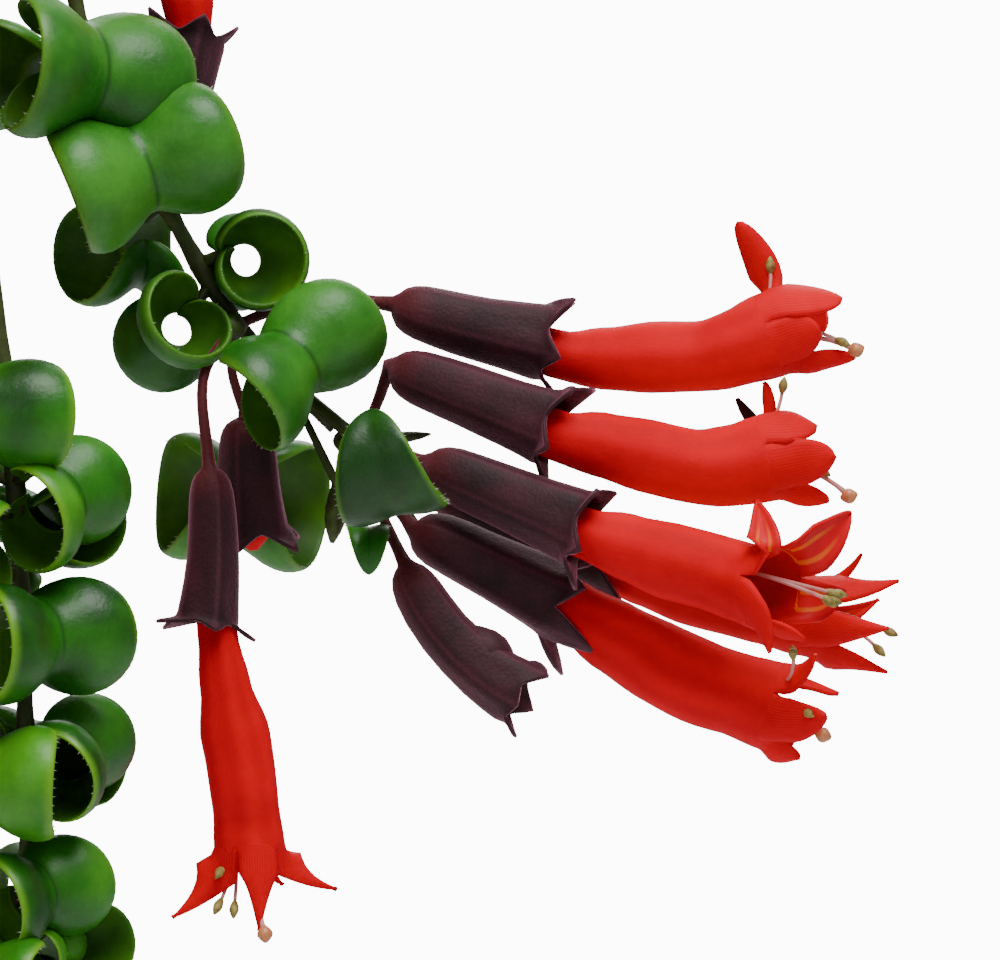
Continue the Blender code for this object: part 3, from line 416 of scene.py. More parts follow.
# %% Wire, soil and perlite
zinc, shader, node = finish("Galvanised wire", Metallic=1.0)
place = node("TexCoord").outputs["Object"]
spangle = node("TexVoronoi", place, 800.0).outputs["Color"]
dull = node("Math", node("TexNoise", place, per(4), 5, GRAININESS), 0.3, 0.25, operation="MULTIPLY_ADD")
greys = node("ValToRGB", spangle, stops=((0.2, "#A9ABAD"), (0.8, "#BDBFC1")))
dress(shader, Base_Color=greys, Roughness=dull)

peat, shader, node = finish("Potting soil", Roughness=0.95, Specular_IOR_Level=0.2)
crumb = node("TexNoise", node("TexCoord").outputs["Object"], per(2.2), 8, 0.7)
earth = node("ValToRGB", crumb, stops=((0.32, "#1E140D"), (0.74, "#6A4A30"), (0.55, "#3A281B")))
dress(shader, Base_Color=earth, Normal=node("Bump", 1.0, 0.9 * MM, None, crumb))

perlite = mottled("Perlite", "#D9D6CC", "#F4F2EA", 0.85, 0.8)
print("made", zinc.name, peat.name, perlite.name)

# %% [markdown]
# ## Where every stem stands
# The solids were placed by rules: stems leave the soil upright and arch over the rim. The same rules with the
# same values give the same places here, so every finer piece takes its solid's place. Two stems follow the
# view, and the others hang evenly all round.

# %% Routes of the stems
GAP = 0.35 * MM
STEM_RADIUS = 1.6 * MM
STEM_TIP_RADIUS = 1.1 * MM
TRAIL_RADIUS = 98 * MM
LEFT_AZIMUTH = -33
LEFT_DEPTH = -48


def route_length(points):
    return sum((b - a).length for a, b in zip(points, points[1:]))


def along(points, share):
    """The point at this share of the route's length."""
    left = share * route_length(points)
    for a, b in zip(points, points[1:]):
        step = (b - a).length
        if left <= step:
            return a.lerp(b, left / step) if step else a.copy()
        left -= step
    return points[-1].copy()


def direction(points, share):
    return (along(points, min(share + 0.03, 1)) - along(points, max(share - 0.03, 0))).normalized()


def smooth_route(points, count):
    """Evenly spaced points on a smooth curve through the route's own points."""
    ends = [points[0] * 2 - points[1], *points, points[-1] * 2 - points[-2]]
    fine = []
    steps = 12
    for a, b, c, d in zip(ends, ends[1:], ends[2:], ends[3:]):
        for t in (step / steps for step in range(steps)):
            level = 2 * b + (c - a) * t + (2 * a - 5 * b + 4 * c - d) * t**2
            fine.append(0.5 * level + 0.5 * (3 * b - a - 3 * c + d) * t**3)
    fine.append(points[-1].copy())
    return [along(fine, i / (count - 1)) for i in range(count)]


def risen(azimuth, rise):
    """The first points of a stem, by radius and by height over the rim in millimetres."""
    return [polar(azimuth, r * MM, RIM_Z + z * MM) for r, z in rise]


def rooted(points, count):
    """A route that leaves the soil straight up, then runs smoothly on."""
    return [points[0], *smooth_route(points[1:], count - 1)]


def trailing_route(azimuth, length, lift):
    sway = 2.5 * math.sin(azimuth * 1.7)
    rise = ((34, -20), (34, -6), (40, 10 + lift), (60, 22 + lift), (82, 14 + lift), (96, -10))
    points = risen(azimuth, rise)
    top = points[-1].z
    for part in (0.33, 0.66, 1.0):
        ripple = 2 * MM * math.sin(3 * part + azimuth)
        points.append(polar(azimuth + sway * part, TRAIL_RADIUS + ripple, top - length * MM * part))
    return rooted(points, 10)


# Azimuth in degrees, length and lift in mm, and how many flowers hang at the tip
Stem = namedtuple("Stem", "name azimuth length lift flowers")
TRAILING = [
    Stem(f"stem_{row[0]:03d}", *row)
    for row in (
        (28, 2, 14, 2),
        (56, 116, 0, 0),
        (92, 92, 4, 3),
        (120, 124, 0, 0),
        (148, 84, 6, 3),
        (176, 118, 0, 0),
        (212, 96, 4, 3),
        (240, 126, 0, 0),
        (268, 86, 6, 3),
        (296, 120, 0, 0),
    )
]
CROWN = [
    Stem(f"crown_{row[0]:03d}", *row)
    for row in ((20, 50, 0, 0), (105, 60, 0, 3), (200, 54, 0, 0), (290, 62, 0, 0))
]
FRONT_RISE = ((34, -20), (34, -6), (39, 10), (58, 21), (78, 17), (89, 2))
FRONT_VIEW = ((74, 10), (108, 90), (158, 190), (213, 288), (270, 362), (335, 428))
LEFT_RISE = ((35, -20), (35, -6), (41, 8), (60, 19), (80, 12), (89, -6))
LEFT_VIEW = ((-30, 110), (-12, 260), (8, 400), (20, 560), (26, 760), (28, 920), (28, 1040))
left_places = [picture(*place, LEFT_DEPTH) for place in LEFT_VIEW]
routes = {
    "stem_front": rooted([*risen(0, FRONT_RISE), *(picture(*place) for place in FRONT_VIEW)], 17),
    "stem_left": rooted([*risen(LEFT_AZIMUTH, LEFT_RISE), *left_places], 15),
}
for stem in TRAILING:
    routes[stem.name] = trailing_route(stem.azimuth, stem.length, stem.lift)
for stem in CROWN:
    rise = ((14, -20), (14, -6), (18, stem.length * 0.5), (26, stem.length))
    routes[stem.name] = rooted(risen(stem.azimuth, rise), 7)
print("stems:", len(routes), "longest", round(max(map(route_length, routes.values())) / MM), "mm")

# %% [markdown]
# ## Room that is taken
# A leaf may not touch the pot, the hanger, a flower or another stem. Apart from the pot, each of these is a
# row of capsules: a stretch between two points with a radius round it. A new leaf is a capsule as well, and
# it stands only where it keeps its distance from all the others, by the same rule as in the solids.

# %% Room that is taken
FLANGE_RADIUS = 84.5 * MM
RIM_RADIUS = 78 * MM
POT_HEIGHT = 105 * MM
POT_BASE_RADIUS = 51 * MM
STRAND_AZIMUTHS = (194, 74, 314)
STRAND_RADIUS = 1.0 * MM
STRAND_HOLE_AT = 81.2 * MM
EYE_RADIUS = 9.5 * MM
EYE_CENTRE_Z = -58 * MM
# Between these two places of the view the background shows
OPEN_VIEW = ((80, 232), (80, 330))
OPEN_ROOM = 6 * MM
NO_LENGTH = 1e-12
Capsule = namedtuple("Capsule", "owner start end radius")
capsules = []


def pot_radius(height):
    """The pot's outer radius at this height."""
    share = (height - (RIM_Z - POT_HEIGHT)) / POT_HEIGHT
    return POT_BASE_RADIUS + (RIM_RADIUS - POT_BASE_RADIUS) * min(max(share, 0), 1)


def segment_gap(a, b, c, d):
    """The least distance between the segments a-b and c-d."""
    u, v, w = b - a, d - c, a - c
    uu, uv, vv, uw, vw = u.dot(u), u.dot(v), v.dot(v), u.dot(w), v.dot(w)
    det = uu * vv - uv * uv
    s = min(max((uv * vw - vv * uw) / det, 0), 1) if det > NO_LENGTH else 0.0
    t = min(max((uv * s + vw) / vv, 0), 1) if vv > NO_LENGTH else 0.0
    s = min(max((uv * t - uw) / uu, 0), 1) if uu > NO_LENGTH else 0.0
    return ((a + u * s) - (c + v * t)).length


def keep_clear(owner, points, radius):
    """Takes the room round a route."""
    capsules.extend(Capsule(owner, a, b, radius) for a, b in zip(points, points[1:]))


def is_clear(owner, start, end, radius):
    """Whether a capsule touches neither the pot nor what belongs to another owner."""
    for point in (start, (start + end) / 2, end):
        flat = math.hypot(point.x, point.y)
        if point.z < RIM_Z + radius + GAP and flat < pot_radius(point.z) + radius + GAP:
            return False
        if abs(point.z - RIM_Z) < radius + GAP and flat < FLANGE_RADIUS + radius + GAP:
            return False
    for other in capsules:
        apart = radius + other.radius + GAP
        if other.owner != owner and segment_gap(start, end, other.start, other.end) < apart:
            return False
    return True


eye_foot = Vector((0, 0, EYE_CENTRE_Z - EYE_RADIUS))
for azimuth in STRAND_AZIMUTHS:
    keep_clear("hanger", [eye_foot, polar(azimuth, STRAND_HOLE_AT, RIM_Z)], STRAND_RADIUS)
for name, route in routes.items():
    keep_clear(name, route[1:], STEM_RADIUS)
keep_clear("open view", [picture(*place, LEFT_DEPTH) for place in OPEN_VIEW], OPEN_ROOM)
print("capsules before the flowers:", len(capsules))

# %% [markdown]
# ## Where the flowers stand
# The view shows three bunches on one stem. Each flower is given by points of the view: its stalk, the mouth
# of its calyx, and, where it is open, its corolla's line to the throat. On other stems the flowers spread
# from the tip by a rule.

# %% Flower bunches
KNOT_RADIUS = 2.0 * MM
CALYX_LENGTH = 22 * MM
COROLLA_LENGTH = 28 * MM
# The room round a flower's stalk, calyx, tube and lobes, and how far the lobes reach ahead of the tube
STALK_ROOM = 1.2 * MM
CALYX_ROOM = 5.4 * MM
TUBE_ROOM = 6.0 * MM
LOBES_ROOM = 9.0 * MM
LOBES_AHEAD = 11 * MM
Flower = namedtuple("Flower", "label stalk mouth line size dorsal")
# Each bunch: its place, the way its knot stands aside, and its flowers as label, size, stalk, mouth and, for
# an open one, the corolla's line
FRONT_BUNCHES = {
    "tip": (
        (352, 446),
        None,
        ("2", 1.0, ((372, 414, 6), (390, 366, 2)), (552, 427, -4))
        + ((552, 434, -4), (600, 444, -4), (645, 455, -5), (695, 466, -5), (732, 465, -5), (764, 458, -5)),
        ("3", 1.0, ((392, 450, 3), (424, 462, -2)), (582, 528, -8), (576, 530, -8))
        + ((620, 544, -9), (668, 560, -10), (712, 572, -11), (744, 582, -13), (768, 588, -16)),
        ("4", 1.0, ((384, 490, 2), (412, 527, 0)), (556, 600, 1))
        + ((560, 600, 1), (604, 630, 1), (648, 656, 2), (700, 682, 2), (738, 694, 3), (768, 704, 3)),
        ("5", 0.95, ((384, 520, -2), (404, 562, -6)), (520, 692, -8)),
        ("9", 0.95, ((384, 468, 7), (424, 484, 11)), (600, 560, 14))
        + ((600, 560, 14), (650, 578, 15), (705, 594, 15), (755, 606, 15), (802, 614, 15)),
    ),
    "axil": (
        (226, 326),
        Vector((-0.4, -1, 0)),
        ("1", 1.0, ((268, 312, 1), (312, 296, 4), (392, 304, 3)), (546, 341, 3))
        + ((553, 353, 3), (600, 358, 3), (655, 357, 2), (708, 355, 1), (740, 346, 0), (766, 336, 0)),
        ("6", 0.95, ((203, 380, -8), (209, 466, -10)), (206, 622, -11), (219, 645, -11))
        + ((226, 690, -11), (236, 740, -10), (243, 788, -10), (247, 820, -9), (249, 845, -9)),
        ("7", 0.85, ((232, 372, -2), (246, 416, 0)), (252, 530, 2)),
    ),
    "top": (
        (160, 190),
        Vector((0.5, 1, 0)),
        ("8", 0.9, ((166, 196, 8),), (190, 38, 12), (190, 38, 12), (178, -50, 13), (150, -140, 14)),
    ),
}
HANGING_FLOWERS = ("6", "8")
# Flowers of the other stems: turn aside and rise in degrees, and how much longer the stalk is in mm
SPRAY = ((-24, 24, 5), (14, 10, 9), (2, -34, 4))


def knot_at(route, at=None, aside=None):
    """The middle of the knot that a bunch grows from: past the stem's tip, or beside the stem."""
    if aside is None:
        return route[-1] + direction(route, 1.0) * (KNOT_RADIUS + GAP)
    near = picture(*at)
    share = min((i / 60 for i in range(61)), key=lambda s: (along(route, s) - near).length)
    growth = direction(route, share)
    away = (aside - growth * aside.dot(growth)).normalized()
    stem = STEM_RADIUS + (STEM_TIP_RADIUS - STEM_RADIUS) * share
    return along(route, share) + away * (stem + KNOT_RADIUS + GAP / 2)


def spray_flower(azimuth, tip, number):
    """One flower of the spread at a stem's tip. The last of three is a bud."""
    turn, rise, longer = SPRAY[number]
    level = polar(azimuth + turn, 1.0, 0)
    heading = level * math.cos(math.radians(rise)) + UP * math.sin(math.radians(rise))
    lower = math.radians(rise - 12)
    ahead = level * math.cos(lower) + UP * math.sin(lower)
    neck = tip + (level * 0.8 + heading).normalized() * (7 + longer) * MM
    mouth = neck + heading * CALYX_LENGTH
    middle = mouth + heading * 0.45 * COROLLA_LENGTH
    line = (mouth, middle, middle + ahead * 0.5 * COROLLA_LENGTH) if number < 2 else ()
    return Flower(str(number + 1), (neck,), mouth, line, 1.0, UP)


bunches = []
for bunch, (at, aside, *listed) in FRONT_BUNCHES.items():
    flowers = []
    for label, size, stalk, *places in listed:
        stalk = [picture(*place) for place in stalk]
        mouth, *line = (picture(*place) for place in places)
        dorsal = Vector((-1, 0, 0)) if label in HANGING_FLOWERS else UP
        flowers.append(Flower(label, stalk, mouth, line, size, dorsal))
    bunches.append(("front_" + bunch, knot_at(routes["stem_front"], at, aside), flowers))
for stem in (*TRAILING, *CROWN):
    if stem.flowers:
        knot = knot_at(routes[stem.name])
        flowers = [spray_flower(stem.azimuth, knot, number) for number in range(stem.flowers)]
        bunches.append((stem.name[-3:] + "_crown" * (stem in CROWN), knot, flowers))
for bunch, knot, flowers in bunches:
    for flower in flowers:
        keep_clear(bunch, [knot, *flower.stalk], STALK_ROOM)
        keep_clear(bunch, [flower.stalk[-1], flower.mouth], CALYX_ROOM * flower.size)
        if flower.line:
            ahead = (flower.line[-1] - flower.line[-2]).normalized()
            tips = flower.line[-1] + ahead * LOBES_AHEAD * flower.size
            keep_clear(bunch, flower.line, TUBE_ROOM * flower.size)
            keep_clear(bunch, [flower.line[-1], tips], LOBES_ROOM * flower.size)
print("bunches:", len(bunches), "flowers:", sum(len(flowers) for _, _, flowers in bunches))

# %% [markdown]
# ## Where the leaves stand
# A leaf is a roll: its centre, the way it points, and its size. The leaves that the view shows are placed one
# by one. The rest stand in opposite pairs, each pair turned a quarter from the last, and a leaf is left out
# where it would touch something.

# %% Leaves
LEAF_REACH = 6.6 * MM
LEAF_DROP = 2.4 * MM
LEAF_HALF_LENGTH = 8.1 * MM
LEAF_RADIUS = 9.0 * MM
INTERNODE = 23 * MM
Leaf = namedtuple("Leaf", "root centre up out size name", defaults=("",))
# Name, place in the view, depth, the way the leaf's back and its face point, and size
FRONT_LEAVES = (
    ("upper_facing", (98, 78), -9, (0.10, 0.0, 1.0), (0.15, -1.0, 0.1), 1.2),
    ("upper_left", (38, 84), 2, (0.0, 0.2, 1.0), (-1.0, 0.1, 0.2), 1.0),
    ("second_facing", (150, 172), -8, (-0.42, -0.15, 1.0), (0.3, -1.0, 0.1), 1.18),
    ("second_behind", (116, 250), 7, (-0.2, 0.3, 1.0), (-0.5, 1.0, 0.0), 0.95),
    ("ring_right", (254, 262), 0, (-0.55, 0.0, 0.85), (0.85, 0.0, 0.5), 0.88),
    ("ring_left", (172, 330), -2, (-0.25, 0.0, 1.0), (-1.0, 0.0, -0.3), 0.9),
    ("third_facing", (306, 366), -10, (0.55, -0.35, 0.95), (0.0, -1.0, -0.1), 1.0),
    ("third_behind", (236, 498), 15, (-0.25, 0.1, 1.0), (0.05, 1.0, 0.15), 1.15),
    ("hanging", (385, 455), -12.5, (1.0, -0.25, 0.1), (0.1, -1.0, 0.0), 0.92),
    ("tip_small", (368, 560), -3, (1.0, 0.0, 0.1), (0.0, -0.5, -1.0), 0.5),
)
LEFT_LEAVES = (
    ("first", (-8, 415), -56, (0.1, -0.2, 1.0), (0.3, -1.0, 0.0), 0.95),
    ("second", (62, 505), -50, (0.1, -0.4, 1.0), (1.0, -0.5, 0.0), 0.95),
    ("third", (-22, 545), -54, (0.0, -0.3, 1.0), (-0.7, -1.0, 0.0), 0.85),
    ("fourth", (52, 642), -54, (0.2, -0.3, 1.0), (0.7, -0.7, 0.0), 1.0),
    ("fifth", (66, 758), -49, (0.1, -0.3, 1.0), (1.0, -0.2, 0.0), 0.85),
    ("sixth", (-12, 782), -56, (0.0, -0.2, 1.0), (-0.3, -1.0, 0.0), 0.95),
    ("seventh", (48, 892), -52, (0.1, -0.3, 1.0), (0.8, -0.6, 0.0), 0.88),
    ("eighth", (-6, 980), -56, (0.0, -0.3, 1.0), (-0.6, -0.8, 0.0), 0.85),
)


def leaf_capsule(leaf):
    """The stretch along a leaf's roll, and the radius round it that the leaf takes."""
    out = (leaf.out - leaf.up * leaf.out.dot(leaf.up)).normalized()
    reach = out.cross(leaf.up) * LEAF_HALF_LENGTH * leaf.size
    return leaf.centre - reach, leaf.centre + reach, LEAF_RADIUS * leaf.size


def take_room(owner, leaves):
    for leaf in leaves:
        start, end, radius = leaf_capsule(leaf)
        keep_clear(owner, [start, end], radius)


def clear_leaves(owner, leaves):
    """Those of the leaves that touch nothing. From then on their room is taken."""
    standing = [leaf for leaf in leaves if is_clear(owner, *leaf_capsule(leaf))]
    take_room(owner, standing)
    return standing


def pair_leaf(root, growth, out, size):
    up = UP - growth * 0.9
    up = (up - out * up.dot(out)).normalized()
    return Leaf(root, root + out * LEAF_REACH * size - up * LEAF_DROP * size, up, out, size)


def paired_leaves(owner, first, size, spacing=INTERNODE, last=0.97, turned_by=0.0):
    """Leaves in opposite pairs between two shares of the stem's route, where they touch nothing."""
    route = routes[owner]
    made = []
    share = first
    number = 0
    while share <= last:
        root, growth = along(route, share), direction(route, share)
        side = growth.cross(UP)
        if side.length < 0.35:
            side = Vector((-root.y, root.x, 0))
        side = (side - growth * side.dot(growth)).normalized()
        front = growth.cross(side).normalized()
        angle = math.radians(turned_by + 90 * number + 12 * math.sin(2.1 * number + len(made)))
        across = side * math.cos(angle) + front * math.sin(angle)
        scale = size * (1.0 - 0.32 * max(0.0, share - 0.55) / 0.45)
        made += clear_leaves(owner, [pair_leaf(root, growth, across * sign, scale) for sign in (1, -1)])
        share += spacing * (1 - 0.25 * share) / route_length(route)
        number += 1
    return made


def shown_leaves(route, listed):
    """The leaves of the view, each rooted at the nearest place of its stem."""
    made = []
    for name, at, depth, up, out, size in listed:
        centre = picture(*at, depth)
        up, out = Vector(up).normalized(), Vector(out).normalized()
        near = centre + up * LEAF_DROP
        root = min((along(route, i / 60) for i in range(58)), key=lambda place: (place - near).length)
        made.append(Leaf(root, centre, up, out, size, name))
    return made


def partner(leaf):
    """The leaf across the stem from one of the view's."""
    flat = Vector((leaf.out.x, leaf.out.y, 0)).normalized()
    return pair_leaf(leaf.root, -UP, -flat, leaf.size * 0.92)


leaves_of = {}
# The view's leaves, how many of them have a partner across the stem, and where pairs stop above them
SHOWN_STEMS = (("stem_front", FRONT_LEAVES, 1, 0.3), ("stem_left", LEFT_LEAVES, 8, 0.42))
for name, listed, partnered, last in SHOWN_STEMS:
    leaves = shown_leaves(routes[name], listed)
    take_room(name, leaves)
    leaves += clear_leaves(name, [partner(leaf) for leaf in leaves[:partnered]])
    leaves_of[name] = [*paired_leaves(name, 0.2, 0.95, last=last), *leaves]
for stem in TRAILING:
    leaves_of[stem.name] = paired_leaves(stem.name, 0.2, 1.05, turned_by=stem.azimuth % 45)
for stem in CROWN:
    leaves_of[stem.name] = paired_leaves(stem.name, 0.42, 0.95, 15 * MM, turned_by=stem.azimuth % 60)
print("leaves:", sum(map(len, leaves_of.values())))

# %% [markdown]
# ## Building blocks for the plant
# Leaves, stems and threads are all lofts: rows of points that are joined into a skin. Petals and calyxes are
# thin sheets that are given a second face and closed at the edges. Both go into one body of vertices and
# faces, so a whole leafy stem or a whole bunch is one mesh, as it is one living thing. Each vertex keeps its
# form value.

# %% Lofts and sheets
PLAIN_FORM = (0.0, 0.5, 0.5)
BLOB_ROWS = 7


def circle(count):
    """The cosine and sine of even turns."""
    turns = [2 * math.pi * k / count for k in range(count)]
    return [(math.cos(turn), math.sin(turn)) for turn in turns]


def between(first, rows, count, closed=False, turned=False):
    """Faces that join rows of vertices, each a closed loop of this count. closed joins last to first."""
    made = []
    for r in range(rows if closed else rows - 1):
        near, far = first + r * count, first + (r + 1) % rows * count
        for i in range(count):
            j = (i + 1) % count
            if turned:
                made.append((near + i, far + i, far + j, near + j))
            else:
                made.append((near + i, near + j, far + j, far + i))
    return made


class Body:
    """Vertices with their form values, and faces with their material's number."""

    def __init__(self):
        self.verts = []
        self.forms = []
        self.faces = []
        self.looks = []

    def skin(self, rows, forms, look_at, turned=False):
        """Joins rows of points, each a closed loop of the same count. look_at gives a face's material."""
        first = len(self.verts)
        count = len(rows[0])
        for row, values in zip(rows, forms):
            self.verts.extend(row)
            self.forms.extend(values)
        self.faces.extend(between(first, len(rows), count, turned=turned))
        self.looks.extend(look_at(r, i) for r in range(len(rows) - 1) for i in range(count))
        return first

    def loft(self, rows, forms, look_at):
        """A skin that is closed at both ends."""
        first = self.skin(rows, forms, look_at)
        count = len(rows[0])
        for r in (0, len(rows) - 1):
            start = first + r * count
            middle = len(self.verts)
            self.verts.append(sum(rows[r], Vector()) / count)
            self.forms.append(forms[r][0])
            for i in range(count):
                j = (i + 1) % count
                self.faces.append((start + i, start + j, middle) if r else (start + j, start + i, middle))
                self.looks.append(look_at(min(r, len(rows) - 2), i))

    def thicken(self, first_vert, first_face, depth, inside):
        """Gives the sheet added since then a second face this far behind it, and closes its edges."""
        sheet = self.faces[first_face:]
        look = self.looks[first_face]
        normals = {}
        rim = {}
        for face in sheet:
            a, b, c, d = (self.verts[i] for i in face)
            normal = (b - a).cross(c - a)
            normal += (c - a).cross(d - a)
            for i, j in zip(face, face[1:] + face[:1]):
                normals[i] = normals.get(i, Vector()) + normal
                if (j, i) in rim:
                    del rim[(j, i)]
                else:
                    rim[(i, j)] = True
        shift = len(self.verts) - first_vert
        backs = [self.verts[i] - normals[i].normalized() * depth for i in range(first_vert, len(self.verts))]
        self.verts.extend(backs)
        self.forms.extend(self.forms[first_vert:])
        self.faces.extend(tuple(i + shift for i in reversed(face)) for face in sheet)
        self.faces.extend((j, i, i + shift, j + shift) for i, j in rim)
        self.looks.extend([inside] * len(sheet) + [look] * len(rim))

    def spike(self, foot, tip, radius, look, form):
        """A thin three-sided hair, closed at its foot."""
        ahead = (tip - foot).normalized()
        side = ahead.orthogonal().normalized() * radius
        other = ahead.cross(side)
        a = len(self.verts)
        self.verts.extend(foot + side * math.cos(turn) + other * math.sin(turn) for turn in (0, 2.094, 4.189))
        self.verts.append(tip)
        self.forms.extend([form] * 4)
        self.faces.extend([(a, a + 1, a + 3), (a + 1, a + 2, a + 3), (a + 2, a, a + 3), (a + 2, a + 1, a)])
        self.looks.extend([look] * 4)

    def tube(self, points, radii, sides, look, form=PLAIN_FORM):
        """A closed tube along a route."""
        rows = rings(points, radii, sides)
        self.loft(rows, [[form] * sides for _ in rows], lambda r, i: look)

    def blob(self, centre, ahead, length, radius, look, form, sides=10):
        """A small closed egg shape, for a bud, a knot, an anther or a grain."""
        last = BLOB_ROWS - 1
        points = [centre + ahead * length * (i / last - 0.5) for i in range(BLOB_ROWS)]
        radii = [radius * max(0.12, math.sin(math.pi * (0.06 + 0.88 * i / last))) for i in range(BLOB_ROWS)]
        self.tube(points, radii, sides, look, form)

    def made_object(self, name, materials, smooth=True):
        mesh = bpy.data.meshes.new(name)
        mesh.from_pydata(self.verts, [], self.faces)
        for look in materials:
            mesh.materials.append(look)
        mesh.polygons.foreach_set("material_index", self.looks)
        mesh.polygons.foreach_set("use_smooth", [smooth] * len(self.faces))
        held = mesh.attributes.new("form", "FLOAT_VECTOR", "POINT")
        held.data.foreach_set("vector", [value for form in self.forms for value in form])
        mesh.update()
        return in_scene(name, mesh)


def rings(points, radii, sides):
    """Loops of points round a route, without a twist from one to the next."""
    rows = []
    held = None
    for i, (point, radius) in enumerate(zip(points, radii)):
        ahead = (points[min(i + 1, len(points) - 1)] - points[max(i - 1, 0)]).normalized()
        held = held or ahead.orthogonal()
        held = (held - ahead * held.dot(ahead)).normalized()
        other = ahead.cross(held)
        rows.append([point + (held * cos + other * sin) * radius for cos, sin in circle(sides)])
    return rows


print("building blocks ready")

# %% [markdown]
# ## One leaf
# The blade of this plant rolls back on itself. Along the midrib it is drawn in to a narrow waist, and each
# half swells out from the crease and stands higher, so a leaf seen from outside has two plump lobes, and seen
# from the end it is a ring with a rounded rim. The skin is a loft: each row runs over the outer face from
# margin to margin and back inside, with the thickness going to nothing at the margins, which rounds them.
# Before the blade come a few rows of petiole, rooted in the stem.

# %% Leaf shape
ACROSS = (0.0, 0.05, 0.13, 0.26, 0.42, 0.58, 0.73, 0.85, 0.93, 0.98, 1.0)
SIDE_STEPS = [-value for value in reversed(ACROSS[1:])] + list(ACROSS)
UPPER_FACE, UNDER_FACE, STEM_SKIN, HAIR = range(4)
CREASE = 0.2
LOBE_TOP = 0.72
PETIOLE_STEPS = (0.0, 0.45, 0.85)
# A roll: start and turn in degrees, sizes in millimetres, and a push, which moves some leaves of the view
USUAL_ROLL = {
    "start": -48,
    "turn": 325,
    "waist": 5.0,
    "spiral": 0.24,
    "width": 11.5,
    "flare": 2.9,
    "lobe": 1.06,
    "thick": 1.35,
    "blunt": 0.55,
    "push": (0, 0, 0),
}
RING = {"waist": 3.7, "flare": 4.1, "spiral": 0.3, "turn": 392, "lobe": 1.0, "width": 9.5, "thick": 1.8}
OPEN_ROLL = {"start": -60, "spiral": 0.1}
ROLLS = {
    "upper_left": {"out": (-0.6, 0.8, 0), "up": (0, 0.2, 1)},
    "second_behind": {"width": 9, "push": (2.4, 0, -0.4)},
    "upper_facing": {"width": 10.6, "waist": 5.6, "flare": 2.6, "push": (-2.8, 0, 0)}
    | {"out": (0.66, -0.75, 0.1), "up": (0.14, 0, 1)},
    "second_facing": {"width": 10.2, "flare": 3.0, "push": (-1.5, 0, 0.2)}
    | {"out": (0.3, -1, 0.1), "up": (-0.34, -0.15, 1)},
    "ring_right": RING | {"push": (-1.2, 0, 0), "out": (0.9, 0.25, 0.3), "up": (-0.35, -0.1, 0.9)},
    "ring_left": RING | {"push": (0.8, 0, -0.1), "out": (-0.87, -0.36, -0.19), "up": (-0.31, 0.17, 0.95)},
    "third_facing": {"width": 11.8, "waist": 4.9, "flare": 2.9, "turn": 350, "push": (-2.2, 0, 0)}
    | {"out": (0.72, -0.68, 0), "up": (-0.47, -0.3, 0.85)},
    "third_behind": {"width": 10, "push": (0.3, 0, -0.8), "up": (0.1, 0.1, 1)},
    "hanging": OPEN_ROLL
    | {"turn": 218, "waist": 8.2, "width": 7.3, "flare": 0.8, "blunt": 0.6}
    | {"out": (-0.16, -1, -0.1), "up": (0.24, 0.1, -1)},
    "tip_small": OPEN_ROLL
    | {"turn": 185, "waist": 8.4, "width": 5.6, "flare": 0.7, "out": (0.05, -1, 0), "up": (0, 0.1, 1)},
    "first": {"push": (-2.0, 0, 0), "lobe": 1.0},
    "second": {"width": 9.4, "push": (-1.4, 0, 0)},
    "third": {"width": 10, "push": (-1.6, 0, 0)},
    "fourth": {"width": 10.4, "push": (-2.0, 0, 0)},
    "seventh": {"width": 10.4, "push": (-2.4, 0, -0.6)},
}
# Painted light and shade: how much darker or lighter these leaves of the view are painted, from darkest to
# lightest
PAINTED_LIGHT_AND_SHADE = {
    "hanging": -0.6,
    "fourth": -0.2,
    "first": 0.2,
    "seventh": 0.3,
    "third_facing": 0.6,
    "second_facing": 0.9,
}


def blade_width(share, blunt):
    """Half the blade's width, as a share of the widest, at this share of its length."""
    return math.sin(math.pi * share**0.72) ** blunt if 0 < share < 1 else 0.0


def lobe_height(from_midrib, lobe):
    """How high the blade stands above its crease, from the midrib to the margin."""
    soft = (math.hypot(from_midrib, CREASE) - CREASE) / (math.hypot(1, CREASE) - CREASE)
    if soft < LOBE_TOP:
        return lobe * (1 - (1 - soft / LOBE_TOP) ** 2)
    return lobe - (lobe - 0.9) * ((soft - LOBE_TOP) / (1 - LOBE_TOP)) ** 2


def blade_look(r, i):
    """The first rows are the petiole. In the others the upper face comes first, then the under one."""
    if r < len(PETIOLE_STEPS) - 1:
        return STEM_SKIN
    return UPPER_FACE if i < len(SIDE_STEPS) - 1 else UNDER_FACE


